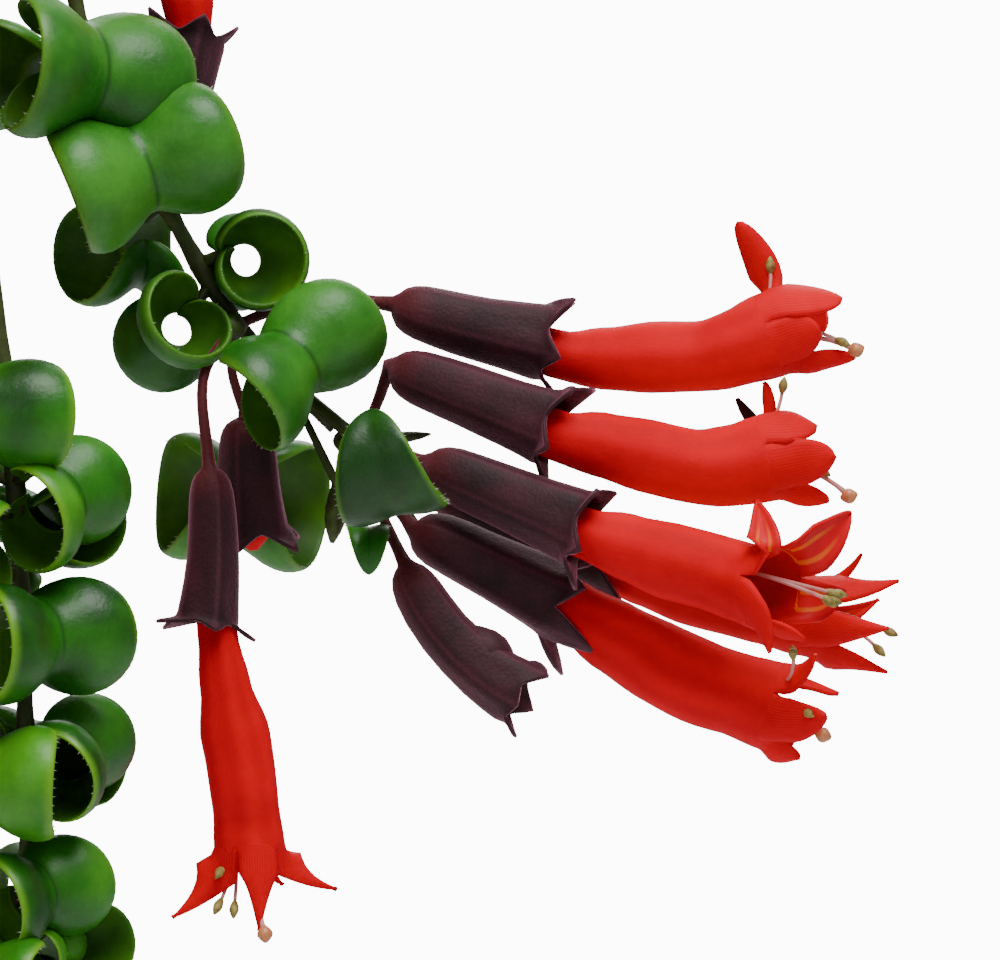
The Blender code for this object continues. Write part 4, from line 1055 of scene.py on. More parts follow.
def add_leaf(body, leaf, seed, steps=30, hairs=24):
    """Adds one rolled leaf with its petiole and margin hairs."""
    chance = random.Random(seed)
    roll = USUAL_ROLL | ROLLS.get(leaf.name, {})
    number = chance.random()
    # These leaves take a set number, which paints them darker or lighter as a whole: painted shade and
    # painted light
    number = PAINTED_LIGHT_AND_SHADE.get(leaf.name, number)
    up = Vector(roll.get("up", leaf.up)).normalized()
    out = Vector(roll.get("out", leaf.out))
    if not leaf.name:
        roll["turn"] += chance.uniform(-26, 14)
        for part, low, high in (("width", 0.9, 1.04), ("waist", 0.92, 1.06), ("lobe", 0.92, 1.05)):
            roll[part] *= chance.uniform(low, high)
        up = (up + out.cross(up) * chance.uniform(-0.2, 0.2)).normalized()
        out = out + up * chance.uniform(-0.25, 0.2)
    out = (out - up * out.dot(up)).normalized()
    axis = out.cross(up)
    size = leaf.size * MM
    phase = chance.uniform(0, 6.28)
    ripple = chance.uniform(0.15, 0.4) * size
    lean = chance.uniform(-0.09, 0.09)
    centre = leaf.centre + Vector(roll["push"]) * MM

    def section(share):
        """The direction from the roll's axis and the crease's radius, at this share of the blade."""
        turn = math.radians(roll["start"] + roll["turn"] * share)
        ray = up * math.cos(turn) + out * math.sin(turn)
        return ray, roll["waist"] * size * (1 - roll["spiral"] * share)

    ray, waist = section(0.0)
    foot = centre + ray * waist
    normal = (foot - leaf.root).cross(axis)
    normal = normal.normalized() if normal.length > 1e-6 else ray
    normal = -normal if normal.dot(ray) < 0 else normal
    rows, forms = [], []
    for part in PETIOLE_STEPS:
        middle = leaf.root.lerp(foot, part)
        wide, thick = (1.0 + 0.5 * part) * size, (1.0 - 0.3 * part) * size
        outer, inner = (
            [middle + axis * s * wide + normal * side * math.sqrt(1 - s * s) * thick for s in SIDE_STEPS]
            for side in (1, -1)
        )
        rows.append([*outer, *reversed(inner[1:-1])])
        forms.append([(0.5, 0.0, number)] * len(rows[-1]))
    edges = []
    for step in range(steps + 1):
        share = step / steps
        share = 0.6 * share + 0.4 * (0.5 - 0.5 * math.cos(math.pi * share))
        ray, waist = section(share)
        reach = blade_width(share, roll["blunt"])
        half = max(roll["width"] * size * reach, (1.5 - 1.2 * share) * size)
        flare = roll["flare"] * size * reach**1.15
        wave = ripple * math.sin(7.5 * share + phase)
        outer, inner = [], []
        for s in SIDE_STEPS:
            from_midrib = abs(s)
            radius = waist + flare * lobe_height(from_midrib, roll["lobe"]) + wave * from_midrib**2 * reach
            radius += lean * s * flare
            thick = roll["thick"] * size * (1 - 0.25 * from_midrib) * math.sqrt(max(0.0, 1 - from_midrib**7))
            thick *= min(1.0, 0.35 + 3 * (1 - share))
            place = centre + axis * s * half
            outer.append(place + ray * (radius + thick / 2))
            inner.append(place + ray * (radius - thick / 2))
        edges += [(outer[0], -axis, ray, share), (outer[-1], axis, ray, share)]
        rows.append([*outer, *reversed(inner[1:-1])])
        forms.append([(s, share, number) for s in (*SIDE_STEPS, *reversed(SIDE_STEPS[1:-1]))])
    body.loft(rows, forms, blade_look)
    for _ in range(hairs):
        foot, side, ray, share = chance.choice(edges)
        if 0.12 < share < 0.93:
            aim = side * chance.uniform(0.5, 1.0) + ray * chance.uniform(-0.6, 0.5)
            tip = foot + aim.normalized() * chance.uniform(0.35, 0.6) * MM
            body.spike(foot - side * 0.12 * MM, tip, 0.05 * MM, HAIR, (0.0, share, number))


print("points in one leaf's row:", 2 * len(SIDE_STEPS) - 2)

# %% [markdown]
# ## Leafy stems
# A stem thickens a little where each pair of leaves joins it, and tapers to its tip. All its leaves and the
# stem go into one body. The leaves stand in a row down the stem like beads, which is how this plant looks.

# %% Build the stems
STEM_SIDES = 10
bare_tips = {stem.name for stem in (*TRAILING, *CROWN) if not stem.flowers} | {"stem_left"}


def young_leaves(body, name):
    """Two pairs of small leaves that close a stem's growing tip."""
    route = routes[name]
    growth = direction(route, 1.0)
    side = growth.cross(Vector((0.3, 1, 0))).normalized()
    for pair, (share, size) in enumerate(((0.95, 0.44), (0.99, 0.3))):
        across = growth.cross(side).normalized() if pair else side
        for sign in (1, -1):
            leaf = pair_leaf(along(route, share), growth, across * sign, size)
            add_leaf(body, leaf, f"{name}young{pair}{sign}", 20, 8)


def leafy_stem(name, skin):
    """Builds a stem with its leaves and returns how many faces it has."""
    body = Body()
    route = smooth_route(routes[name], 4 * len(routes[name]))
    radii = []
    for i, point in enumerate(route):
        radius = STEM_RADIUS + (STEM_TIP_RADIUS - STEM_RADIUS) * i / (len(route) - 1)
        nearest = min(((leaf.root - point).length for leaf in leaves_of[name]), default=1.0)
        radii.append(radius * (0.86 + 0.3 * math.exp(-((nearest / (2.2 * MM)) ** 2))))
    if name in bare_tips:
        radii[-2:] = [radii[-2] * 0.8, radii[-1] * 0.35]
        young_leaves(body, name)
    forms = [[(0.5, i / len(route), 0.5)] * STEM_SIDES for i in range(len(route))]
    body.loft(rings(route, radii, STEM_SIDES), forms, lambda r, i: STEM_SKIN)
    for count, leaf in enumerate(leaves_of[name]):
        add_leaf(body, leaf, f"{name}{count}", *((42, 80) if leaf.name else ()))
    made = body.made_object(name + "_leaves", [skin, soft_green, olive_stem, pale_hair])
    stands_for(made, name)
    return len(body.faces)


# The left stem's leaves take the copy of the green with painted light
faces = sum(leafy_stem(name, leaf_green_with_painted_light if name == "stem_left" else waxy_green) for name in leaves_of)
print("stems built:", len(leaves_of), "faces:", faces)

# %% [markdown]
# ## Calyxes and their stalks
# Each flower hangs in a dark cup some 22 mm long. It widens quickly from its stalk to round shoulders, then
# only a little more to a mouth with five short teeth that curl outwards, and five soft ribs run up to the
# teeth. A sheet of forty strips round the flower's own line gives that, with the teeth made by how far each
# strip reaches. A bud that isn't open yet closes the mouth from inside.

# %% Calyx sheet
STRIPS = 40
LOBES = 5
STRIPS_TO_A_LOBE = STRIPS // LOBES
HALF_LOBE = STRIPS_TO_A_LOBE // 2
LOBE_COLUMNS = range(-HALF_LOBE, HALF_LOBE + 1)
STALK_POINTS = 12
# A cup's radius in millimetres at shares of its length
CUP_SHARES = (0.0, 0.025, 0.06, 0.11, 0.18, 0.3, 0.45, 0.6, 0.75, 0.87, 0.95)
CUP_RADII = (1.1, 1.7, 2.6, 3.2, 3.6, 3.85, 4.05, 4.25, 4.5, 4.75, 4.95)
GIRTH = {"front_axil_6": 0.84, "front_axil_7": 1.15, "front_tip_5": 0.92, "front_tip_9": 0.9}
# How far a calyx bows aside at its middle, in millimetres
BOW = {"front_tip_5": (-1.5, 0, -1.5), "front_axil_6": (0.6, 0, 0), "front_axil_1": (0, 0, -0.3)}
# Calyxes of the view with teeth of their own: a turn of the mouth in degrees, and for a tooth how far its tip
# reaches ahead and aside in millimetres, and how thorny it is
TEETH = {
    "front_tip_3": (0, {2: (1.3, 2.2, 1.7), 3: (1.5, 1.8, 1.7)}),
    "front_tip_4": (30, {0: (5.4, 4.6, 1.1), 1: (8.0, 0.1, 0.9)}),
    "front_tip_5": (0, {0: (2.4, 1.2, 0.9), 1: (0.9, 0.3, 1.0), 2: (2.8, 0.3, 0.9), 3: (1.8, 0.6, 1.2)}),
    "front_tip_9": (36, {1: (5.0, 1.2, 1.1), 3: (5.4, 4.2, 1.3)}),
    "front_axil_6": (0, {0: (1.6, 3.2, 1.7), 2: (1.4, 3.6, 1.7), 3: (0.8, 4.4, 1.7), 4: (1.0, 1.6, 1.7)}),
}
RED_BUD = "front_axil_7"
VELVET, RED, BROWN = range(3)
Station = namedtuple("Station", "point forward back side")


def flower_line(points, dorsal):
    """The stations of a flower's line: a point with its forward, dorsal and sideways directions."""
    stations = []
    for i, point in enumerate(points):
        forward = (points[min(i + 1, len(points) - 1)] - points[max(i - 1, 0)]).normalized()
        back = (dorsal - forward * dorsal.dot(forward)).normalized()
        stations.append(Station(point, forward, back, forward.cross(back)))
    return stations


def strip_ray(station, strip):
    """The direction of a strip. Strip 0 is the lowest, and a tooth or lobe stands at every eighth."""
    angle = math.radians(-90 + 360 * strip / STRIPS)
    return station.side * math.cos(angle) + station.back * math.sin(angle)


def dents(amount, share, number):
    """How uneven each strip is at this share of the length: factors round 1."""
    return [1 + amount * noise.noise(Vector((cos, sin, share + number * 9))) for cos, sin in circle(STRIPS)]


def ridge(strip):
    """1 at the middle of a tooth or lobe, and -1 between two."""
    return math.cos(2 * math.pi * LOBES * strip / STRIPS)


def add_calyx(body, bunch, knot, flower):
    """Adds a stalk, a cup with its teeth and, where the flower isn't open, the bud inside."""
    title = f"{bunch}_{flower.label}"
    chance = random.Random(bunch + flower.label)
    number = chance.random()
    size = MM * flower.size
    girth = flower.size * GIRTH.get(title, 1.0)
    neck = flower.stalk[-1]
    axis = flower.mouth - neck
    bow = Vector(BOW.get(title, (0, 0, 0))) * MM
    turn, own_teeth = TEETH.get(title, (0, {}))
    stalk = smooth_route([knot, *flower.stalk], STALK_POINTS)[:-1]
    cup = [neck + axis * share + bow * 4 * share * (1 - share) for share in CUP_SHARES]
    dorsal = flower.dorsal.copy()
    dorsal.rotate(Quaternion(axis.normalized(), math.radians(turn)))
    *stations, mouth = flower_line([*stalk, *cup, flower.mouth], dorsal)
    rows, forms = [], []
    for i, station in enumerate(stations[: len(stalk)]):
        radius = (0.7 + 0.25 * (i / STALK_POINTS) ** 3) * size
        rows.append([station.point + strip_ray(station, s) * radius for s in range(STRIPS)])
        forms.append([(0.0, 0.0, number)] * STRIPS)
    for share, radius, station in zip(CUP_SHARES, CUP_RADII, stations[len(stalk) :]):
        row = []
        for s, dent in enumerate(dents(0.04, share * 3, number)):
            fold = 1 + ridge(s) * (0.02 + 0.045 * share**2)
            row.append(station.point + strip_ray(station, s) * radius * fold * dent * MM * girth)
        rows.append(row)
        forms.append([(max(0.0, ridge(s)), share, number) for s in range(STRIPS)])
    teeth = [(2.5 * chance.uniform(0.85, 1.2), 2.2 * chance.uniform(0.7, 1.3), 1.7) for _ in range(LOBES)]
    for part in (0.25, 0.5, 0.75, 1.0):
        row, values = [], []
        for s in range(STRIPS):
            tooth = round(s / STRIPS_TO_A_LOBE) % LOBES
            ahead, aside, thorny = own_teeth.get(tooth, teeth[tooth])
            off = abs((s + HALF_LOBE) % STRIPS_TO_A_LOBE - HALF_LOBE) / HALF_LOBE
            height = (1 - off) ** thorny
            ahead = (-0.5 + part * (0.35 + ahead * height)) * size
            aside = (5.0 + part * (0.2 + height * aside * part)) * MM * girth
            row.append(mouth.point + mouth.forward * ahead + strip_ray(mouth, s) * aside)
            values.append((1 - off, 1.0, number))
        rows.append(row)
        forms.append(values)
    first_face = len(body.faces)
    first = body.skin(rows, forms, lambda r, i: VELVET, turned=True)
    body.thicken(first, first_face, 0.5 * size, VELVET)
    if not flower.line:
        at, look = (0.84, RED) if title == RED_BUD else (0.72, VELVET)
        radius = 3.8 * MM * girth
        body.blob(neck + axis * at, axis.normalized(), 10 * MM, radius, look, (0.0, 0.9, number), 16)


# %% Build the calyx bunches
BUD_SHOOTS = (
    (((346, 462, 3), (338, 500, 3), (332, 543, 2)), 1.0),
    (((352, 452, 5), (392, 498, 6), (424, 532, 6)), 0.6),
    (((356, 440, 7), (405, 437, 9), (431, 434, 9)), 0.5),
)
SHOOT_TAPER = (0.9, 1.0, 1.2, 1.4, 1.5, 1.4, 1.0, 0.3)

faces = 0
for bunch, knot, flowers in bunches:
    body = Body()
    body.blob(knot, UP, 2 * KNOT_RADIUS, KNOT_RADIUS, BROWN, (0.0, 0.0, 0.5))
    for flower in flowers:
        add_calyx(body, bunch, knot, flower)
    for places, thickness in BUD_SHOOTS if bunch == "front_tip" else ():
        route = smooth_route([picture(*place) for place in places], len(SHOOT_TAPER))
        body.tube(route, [thickness * radius * MM for radius in SHOOT_TAPER], 8, BROWN)
    made = body.made_object(f"calyces_{bunch}_velvet", [velvet, scarlet, brown_bud])
    stands_for(made, "calyces_" + bunch)
    faces += len(body.faces)
print("calyx bunches:", len(bunches), "faces:", faces)

# %% [markdown]
# ## Corollas
# Out of each open calyx comes a curved tube that swells, narrows a little and opens into five lobes: two
# above that lean together as a hood, two at the sides that turn back, and one below like a lip. Each lobe
# carries eight of the tube's strips on along a bent line to its tip, first as wide as it was and then
# rounded. For the flowers in the view, the tips are given by points of the view. The others share a pattern.

# %% Corolla shapes
# A tube's radius in millimetres at shares of its length
WIDTH_SHARES = (0.0, 0.3, 0.45, 0.62, 0.76, 0.87, 1.0)
SHOWN_SHARES = (0.0, 0.3, 0.45, 0.62, 0.76, 0.88, 1.0)
USUAL_WIDTHS = tuple(zip(WIDTH_SHARES, (2.1, 3.1, 3.9, 4.6, 4.6, 4.75, 5.4)))
# Lobes: how far the tip reaches ahead and aside, the turn of the tip from the lobe's own, and half its width
USUAL_LOBES = (
    (10.0, 5.2, 0, 2.6),
    (5.0, 9.6, -6, 3.0),
    (11.0, 4.8, 14, 3.5),
    (11.6, 4.6, -14, 3.5),
    (5.4, 9.8, 6, 3.0),
)
# Flowers of the view: the corolla's radii, the lobes' tips with half their width and a twist in degrees, the
# anthers, the stigma where it shows, and how rounded the lobes are
Shown = namedtuple("Shown", "widths lobes anthers stigma blunt")
SHOWN = {
    "front_axil_1": Shown(
        (2.3, 3.2, 4.1, 4.7, 4.6, 5.0, 5.6),
        ((856, 359, 0, 1.9, -45), (821, 331, -5, 3.1, 0), (843, 297, -2, 3.7, 0))
        + ((737, 222, 2, 2.3, 75), (828, 312, 4, 3.0, 0)),
        ((842, 342, -1), (770, 266, 3)),
        (856, 350, 0),
        1.0,
    ),
    "front_tip_2": Shown(
        (2.3, 3.3, 4.2, 4.8, 4.8, 5.2, 5.7),
        ((829, 503, -5, 2.1, -45), (837, 457, -9, 3.2, 0), (818, 425, -7, 3.6, 0))
        + ((763, 382, -2, 1.2, 60), (738, 397, 1, 2.3, 25)),
        ((823, 471, -6), (783, 386, -4)),
        (849, 496, -5),
        0.9,
    ),
    "front_tip_3": Shown(
        (2.3, 3.3, 4.3, 5.0, 5.0, 5.2, 5.7),
        ((806, 642, -19, 2.6, -30), (768, 654, -21, 2.6, 0), (757, 502, -13, 2.3, 0))
        + ((849, 512, -10, 3.6, 0), (844, 590, -10, 2.8, 0)),
        ((831, 601, -15), (836, 594, -14)),
        None,
        0.6,
    ),
    "front_tip_9": Shown(
        None,
        ((887, 674, 14, 2.8, -40), (889, 629, 10, 2.6, 0), (899, 579, 11, 3.0, 0))
        + ((860, 553, 14, 2.2, 50), (880, 600, 19, 2.4, 0)),
        ((879, 650, 12), (890, 632, 13)),
        None,
        0.4,
    ),
    "front_tip_4": Shown(
        (2.4, 3.7, 4.8, 5.4, 5.5, 5.5, 5.9),
        ((800, 760, 3, 2.6, -45), (826, 716, -5, 3.0, 0), (812, 655, -5, 3.2, 0))
        + ((840, 692, 6, 3.0, 40), (788, 750, 8, 2.4, 0)),
        ((793, 653, -9), (808, 713, -4)),
        (823, 735, 0),
        0.7,
    ),
    "front_axil_6": Shown(
        (1.9, 2.6, 3.3, 4.5, 4.4, 4.3, 4.6),
        ((338, 888, -7, 2.6, 55), (284, 884, -4, 2.2, 0), (202, 893, -4, 2.3, 0))
        + ((171, 917, -11, 3.0, -45), (260, 931, -14, 2.7, 0)),
        ((220, 872, -12), (218, 906, -12), (234, 909, -12)),
        (265, 934, -15),
        0.25,
    ),
}
BROWNED_LOBE = ("front_tip_2", 4)
BROWNED = 2.0
TUBE_ROWS = 26
THREAD_POINTS = 10
MOUTH_FRONT, MOUTH_INSIDE, THREAD, ANTHER, STIGMA = range(5)


def eased(part):
    """0 to 1 with a soft start and end."""
    return 3 * part**2 - 2 * part**3


def width_at(widths, share):
    for (low, first), (high, second) in zip(widths, widths[1:]):
        if share <= high:
            return first + (second - first) * eased((share - low) / (high - low))
    return widths[-1][1]


def curve_point(a, b, c, t):
    return a * (1 - t) ** 2 + b * 2 * t * (1 - t) + c * t**2


# %% Corolla sheet and its lobes


def add_lobe(body, base, forward, tip, half, twist, blunt, number, steps=12):
    """Carries eight strips on from the tube's rim to a rounded tip. base holds their vertex numbers."""
    edge = [body.verts[i] for i in base]
    root = edge[HALF_LOBE]
    wide = edge[-1] - edge[0]
    base_half = wide.length / 2
    lateral = wide.normalized()
    rise = (root - (edge[0] + edge[-1]) / 2).length
    bend = root + forward * (tip - root).length * 0.42
    for step in range(1, steps + 1):
        v = 1 - (1 - step / steps) ** 1.6
        middle = curve_point(root, bend, tip, v)
        ahead = ((bend - root) * (1 - v) + (tip - bend) * v).normalized()
        flat = (lateral - ahead * lateral.dot(ahead)).normalized()
        outward = ahead.cross(flat)
        ease = eased(min(1.0, v / 0.45))
        turn = math.radians(twist) * ease
        cross = flat * math.cos(turn) + outward * math.sin(turn)
        outward = outward * math.cos(turn) - flat * math.sin(turn)
        reach = base_half + (half * MM - base_half) * ease
        if v > 0.4:
            reach *= max(0.0, 1 - ((v - 0.4) / 0.6) ** (2.2 * blunt)) ** (1 - 0.5 * blunt) + 0.04
        row = range(len(body.verts), len(body.verts) + len(base))
        for q in (column / HALF_LOBE for column in LOBE_COLUMNS):
            dip = rise * (1 - 0.6 * v) * q * q * (1 + 0.15 * math.sin(9 * v + number * 5))
            body.verts.append(middle + cross * q * reach - outward * dip)
            body.forms.append((q, 1 + v, number))
        body.faces.extend((base[i], row[i], row[i + 1], base[i + 1]) for i in range(STRIPS_TO_A_LOBE))
        body.looks.extend([MOUTH_FRONT] * STRIPS_TO_A_LOBE)
        base = row


def add_thread(body, start, ahead, place, radii, sides):
    """A thread that leaves the tube ahead and bends to a place. Returns its last stretch."""
    bend = start + ahead * (place - start).length * 0.6
    points = [curve_point(start, bend, place, i / (THREAD_POINTS - 1)) for i in range(THREAD_POINTS)]
    body.tube(points, [radius * MM for radius in radii], sides, THREAD)
    return points[-1] - points[-2]


def add_stamen(body, start, ahead, place, spread):
    """A thread from inside the tube to a pair of anthers."""
    heading = add_thread(body, start, ahead, place, [0.26] * THREAD_POINTS, 6).normalized()
    for side in (-1, 1):
        aim = (heading + spread * side * 0.5).normalized()
        body.blob(place + spread * side * 0.5 * MM, aim, 2.5 * MM, 0.62 * MM, ANTHER, (0, 1, 0.5), 8)


def add_corolla(body, title, flower):
    """Adds the tube, its five lobes, and the stamens and style."""
    chance = random.Random(title)
    seat = flower.stalk[-1].lerp(flower.mouth, 0.54)
    shown = SHOWN.get(title)
    widths = tuple(zip(SHOWN_SHARES, shown.widths)) if shown and shown.widths else USUAL_WIDTHS
    stations = flower_line(smooth_route([seat, *flower.line], TUBE_ROWS), flower.dorsal)
    end = stations[-1]
    number = chance.random()
    scale = MM if shown else MM * flower.size
    rows, forms = [], []
    for i, station in enumerate(stations):
        share = i / (len(stations) - 1)
        radius = width_at(widths, share) * scale
        row = []
        for s, dent in enumerate(dents(0.025, share * 5, number)):
            crease = 1 + 0.015 * share * ridge(s)
            row.append(station.point + strip_ray(station, s) * radius * crease * dent)
        rows.append(row)
        forms.append([(s / STRIPS, share, number) for s in range(STRIPS)])
    first_face = len(body.faces)
    first = body.skin(rows, forms, lambda r, i: MOUTH_FRONT, turned=True)
    rim = first + (len(rows) - 1) * STRIPS
    for k in range(LOBES):
        base = [rim + (STRIPS_TO_A_LOBE * k + column) % STRIPS for column in LOBE_COLUMNS]
        if shown:
            *place, half, twist = shown.lobes[k]
            blunt = shown.blunt
            tip = picture(*place)
        else:
            ahead, aside, turn, half = USUAL_LOBES[k]
            ahead, aside = ahead * chance.uniform(0.9, 1.08), aside * chance.uniform(0.92, 1.1)
            ray = strip_ray(end, STRIPS_TO_A_LOBE * k + turn * STRIPS / 360)
            tip = end.point + (end.forward * ahead + ray * aside) * scale
            half, twist, blunt = half * flower.size, 0, 0.75
        browning = BROWNED if (title, k) == BROWNED_LOBE else number
        add_lobe(body, base, end.forward, tip, half, twist, blunt, browning)
    body.thicken(first, first_face, 0.45 * MM, MOUTH_INSIDE)
    if shown:
        anthers = [picture(*place) for place in shown.anthers]
        stigma = shown.stigma and picture(*shown.stigma)
    else:
        anthers = [end.forward * 9 + end.back * 1.6 + end.side * side * 1.3 for side in (-1, 1)]
        anthers = [end.point + place * scale for place in anthers]
        stigma = end.point + (end.forward * 11.5 - end.back * 1.2) * scale
    start = end.point - end.forward * 5 * MM
    for place in anthers:
        add_stamen(body, start + end.back * 1.5 * MM, end.forward, place, end.side)
    if stigma:
        add_thread(body, start, end.forward, stigma, [0.34] * (THREAD_POINTS - 1) + [0.5], 7)
        body.blob(stigma, end.forward, 2.3 * MM, 1.05 * MM, STIGMA, (0, 1, 0.5), 10)


# %% Build the corollas
faces = 0
petals = [scarlet, throat_red, rosy_thread, olive_anther, salmon_stigma]
opened = 0
for bunch, _, flowers in bunches:
    for flower in (flower for flower in flowers if flower.line):
        title = f"{bunch}_{flower.label}"
        body = Body()
        add_corolla(body, title, flower)
        stands_for(body.made_object(f"corolla_{title}_petals", petals), "corolla_" + title)
        faces += len(body.faces)
        opened += 1
print("open flowers:", opened, "faces:", faces)

# %% [markdown]
# ## Pot and saucer
# A moulded pot is thin, and every edge of it is slightly rounded, because a sharp edge wouldn't fill or
# leave the mould. So each profile's corners are rounded first, and the profile is then turned round the axis
# in many steps. The three rim holes are cut with a Boolean. The saucer's clips are short rounded hooks over
# the foot.

# %% Ways to shape them
TURNED_SIDES = 96


def bent(points, radius, steps=5, closed=False):
    """The route with each corner replaced by a small curve."""
    points = [Vector(point) for point in points]
    made = []
    for i, corner in enumerate(points):
        if not closed and i in (0, len(points) - 1):
            made.append(corner)
            continue
        sides = (points[i - 1] - corner, points[(i + 1) % len(points)] - corner)
        first, last = (corner + away.normalized() * min(radius, 0.45 * away.length) for away in sides)
        made.extend(curve_point(first, corner, last, step / steps) for step in range(steps + 1))
    return made


def turned(profile, closed=True, sides=TURNED_SIDES):
    """Vertices and faces of a profile of radii and heights, turned round the axis."""
    verts = [Vector((x * cos, x * sin, z)) for x, z in profile for cos, sin in circle(sides)]
    return verts, between(0, len(profile), sides, closed)


def shell(name, verts, faces, materials=()):
    """One smooth object whose faces all look outwards."""
    mesh = bpy.data.meshes.new(name)
    mesh.from_pydata(verts, [], faces)
    for look in materials:
        mesh.materials.append(look)
    edit = bmesh.new()
    edit.from_mesh(mesh)
    bmesh.ops.remove_doubles(edit, verts=edit.verts, dist=1e-7)
    bmesh.ops.recalc_face_normals(edit, faces=edit.faces)
    edit.to_mesh(mesh)
    edit.free()
    mesh.polygons.foreach_set("use_smooth", [True] * len(mesh.polygons))
    return in_scene(name, mesh)


def bore(piece, centres, radius, depth, sides):
    """Cuts upright round holes with Booleans and keeps the plain mesh that results."""
    cutters = []
    for centre in centres:
        verts, faces = turned([(radius, -depth / 2), (radius, depth / 2)], False, sides)
        faces += [tuple(range(sides)), tuple(range(sides, 2 * sides))]
        cutters.append(shell("Cutter", [vert + centre for vert in verts], faces))
        cut = piece.modifiers.new("Cut", "BOOLEAN")
        cut.operation = "DIFFERENCE"
        cut.object = cutters[-1]
    bpy.context.view_layer.update()
    bored = bpy.data.meshes.new_from_object(piece.evaluated_get(bpy.context.evaluated_depsgraph_get()))
    piece.modifiers.clear()
    piece.data = bored
    for cutter in cutters:
        bpy.data.objects.remove(cutter)


# %% Pot
FLANGE_THICKNESS = 2.4 * MM
POT_WALL = 1.8 * MM
FOOT_BEAD = 1.6 * MM
FOOT_BEAD_HEIGHT = 2 * MM
DRAIN_RADIUS = 6 * MM
EDGE_ROUNDING = 0.7 * MM
STRAND_HOLE_RADIUS = 2.4 * MM

base_z = RIM_Z - POT_HEIGHT
slope = (RIM_RADIUS - POT_BASE_RADIUS) / POT_HEIGHT
below_flange = RIM_Z - FLANGE_THICKNESS
stacking_step = RIM_RADIUS - 16 * MM * slope
inside = RIM_RADIUS - POT_WALL
# Down the outside, across the foot to the drain hole, up the inside, and over a shallow groove in the rim
profile = [
    (FLANGE_RADIUS, RIM_Z),
    (FLANGE_RADIUS, below_flange),
    (RIM_RADIUS, below_flange),
    (stacking_step, RIM_Z - 18 * MM),
    (stacking_step - 0.5 * MM, RIM_Z - 19 * MM),
    (POT_BASE_RADIUS, base_z + 2 * FOOT_BEAD_HEIGHT),
    (POT_BASE_RADIUS + FOOT_BEAD, base_z + FOOT_BEAD_HEIGHT),
    (POT_BASE_RADIUS + FOOT_BEAD, base_z),
    (DRAIN_RADIUS, base_z),
    (DRAIN_RADIUS, base_z + POT_WALL),
    (POT_BASE_RADIUS - POT_WALL, base_z + POT_WALL),
    (inside, below_flange),
    (inside, RIM_Z),
    (inside + 2.2 * MM, RIM_Z),
    (inside + 2.6 * MM, RIM_Z - 0.4 * MM),
    (FLANGE_RADIUS - 1.4 * MM, RIM_Z - 0.4 * MM),
    (FLANGE_RADIUS - 1.0 * MM, RIM_Z),
]
pot = shell("Pot_shell", *turned(bent(profile, EDGE_ROUNDING, 4, closed=True)), [terracotta])
stands_for(pot, "pot")
rim_holes = [polar(azimuth, STRAND_HOLE_AT, RIM_Z) for azimuth in STRAND_AZIMUTHS]
bore(pot, rim_holes, STRAND_HOLE_RADIUS, 4 * FLANGE_THICKNESS, 24)
print("pot vertices:", len(pot.data.vertices))

# %% Saucer
SAUCER_FLOOR = 2 * MM
SAUCER_DEPTH = 13 * MM
SAUCER_RADIUS = 59 * MM
SAUCER_WALL = 1.8 * MM
SAUCER_SLOPE = 0.35
CLIP_AZIMUTHS = (14, 134, 254)
# A clip's sections: how far aside in millimetres, and how much the section shrinks to round the clip's ends
CLIP_SECTIONS = ((-4.0, 0.86), (-3.8, 1.0), (3.8, 1.0), (4.0, 0.86))

top = base_z - GAP
bottom = top - SAUCER_FLOOR
floor_radius = SAUCER_RADIUS - SAUCER_DEPTH * SAUCER_SLOPE
profile = [
    (0, top),
    (floor_radius - SAUCER_WALL, top),
    (SAUCER_RADIUS - SAUCER_WALL, bottom + SAUCER_DEPTH),
    (SAUCER_RADIUS, bottom + SAUCER_DEPTH),
    (floor_radius, bottom),
    (floor_radius - 4 * MM, bottom),
    (floor_radius - 5 * MM, bottom + 0.6 * MM),
    (0, bottom + 0.6 * MM),
]
verts, faces = turned(bent(profile, EDGE_ROUNDING, 4), closed=False)
inner = POT_BASE_RADIUS + FOOT_BEAD + GAP
lip_low = top + GAP + 2 * FOOT_BEAD_HEIGHT + GAP
hook_profile = [
    (inner, top - 1 * MM),
    (inner + 1.4 * MM, top - 1 * MM),
    (inner + 1.4 * MM, lip_low + 1.6 * MM),
    (inner - 1.2 * MM, lip_low + 0.8 * MM),
    (inner - 1.2 * MM, lip_low),
    (inner, lip_low - 1.2 * MM),
]
clip = bent(hook_profile, 0.35 * MM, 3, closed=True)
count = len(clip)
middle = sum(clip, Vector((0, 0))) / count
for azimuth in CLIP_AZIMUTHS:
    turn = math.radians(azimuth)
    aside = Vector((-math.sin(turn), math.cos(turn), 0))
    start = len(verts)
    for offset, shrink in CLIP_SECTIONS:
        for x, z in clip:
            place = polar(azimuth, middle.x + (x - middle.x) * shrink, middle.y + (z - middle.y) * shrink)
            verts.append(place + aside * offset * MM)
    faces += between(start, len(CLIP_SECTIONS), count)
    last = start + (len(CLIP_SECTIONS) - 1) * count
    faces += [tuple(range(end, end + count)) for end in (start, last)]
saucer = shell("Saucer_shell", verts, faces, [terracotta])
stands_for(saucer, "saucer")
print("saucer vertices:", len(saucer.data.vertices))

# %% [markdown]
# ## Soil
# Potting mix is dark, uneven and crumbly, with white perlite grains and bits of bark on top. The top is a
# fine disc whose height follows noise at two scales, the stem holes are cut out of it, and the grains are
# small rough lumps half sunk in it. Only what shows between the stems matters, so grains lie on the top
# alone.

# %% Soil
SOIL_BELOW_RIM = 12 * MM
SOIL_RINGS = 46
SOIL_SIDES = 120
HOLE_DEPTH = 9 * MM
HOLE_RADIUS = STEM_RADIUS + 2 * GAP

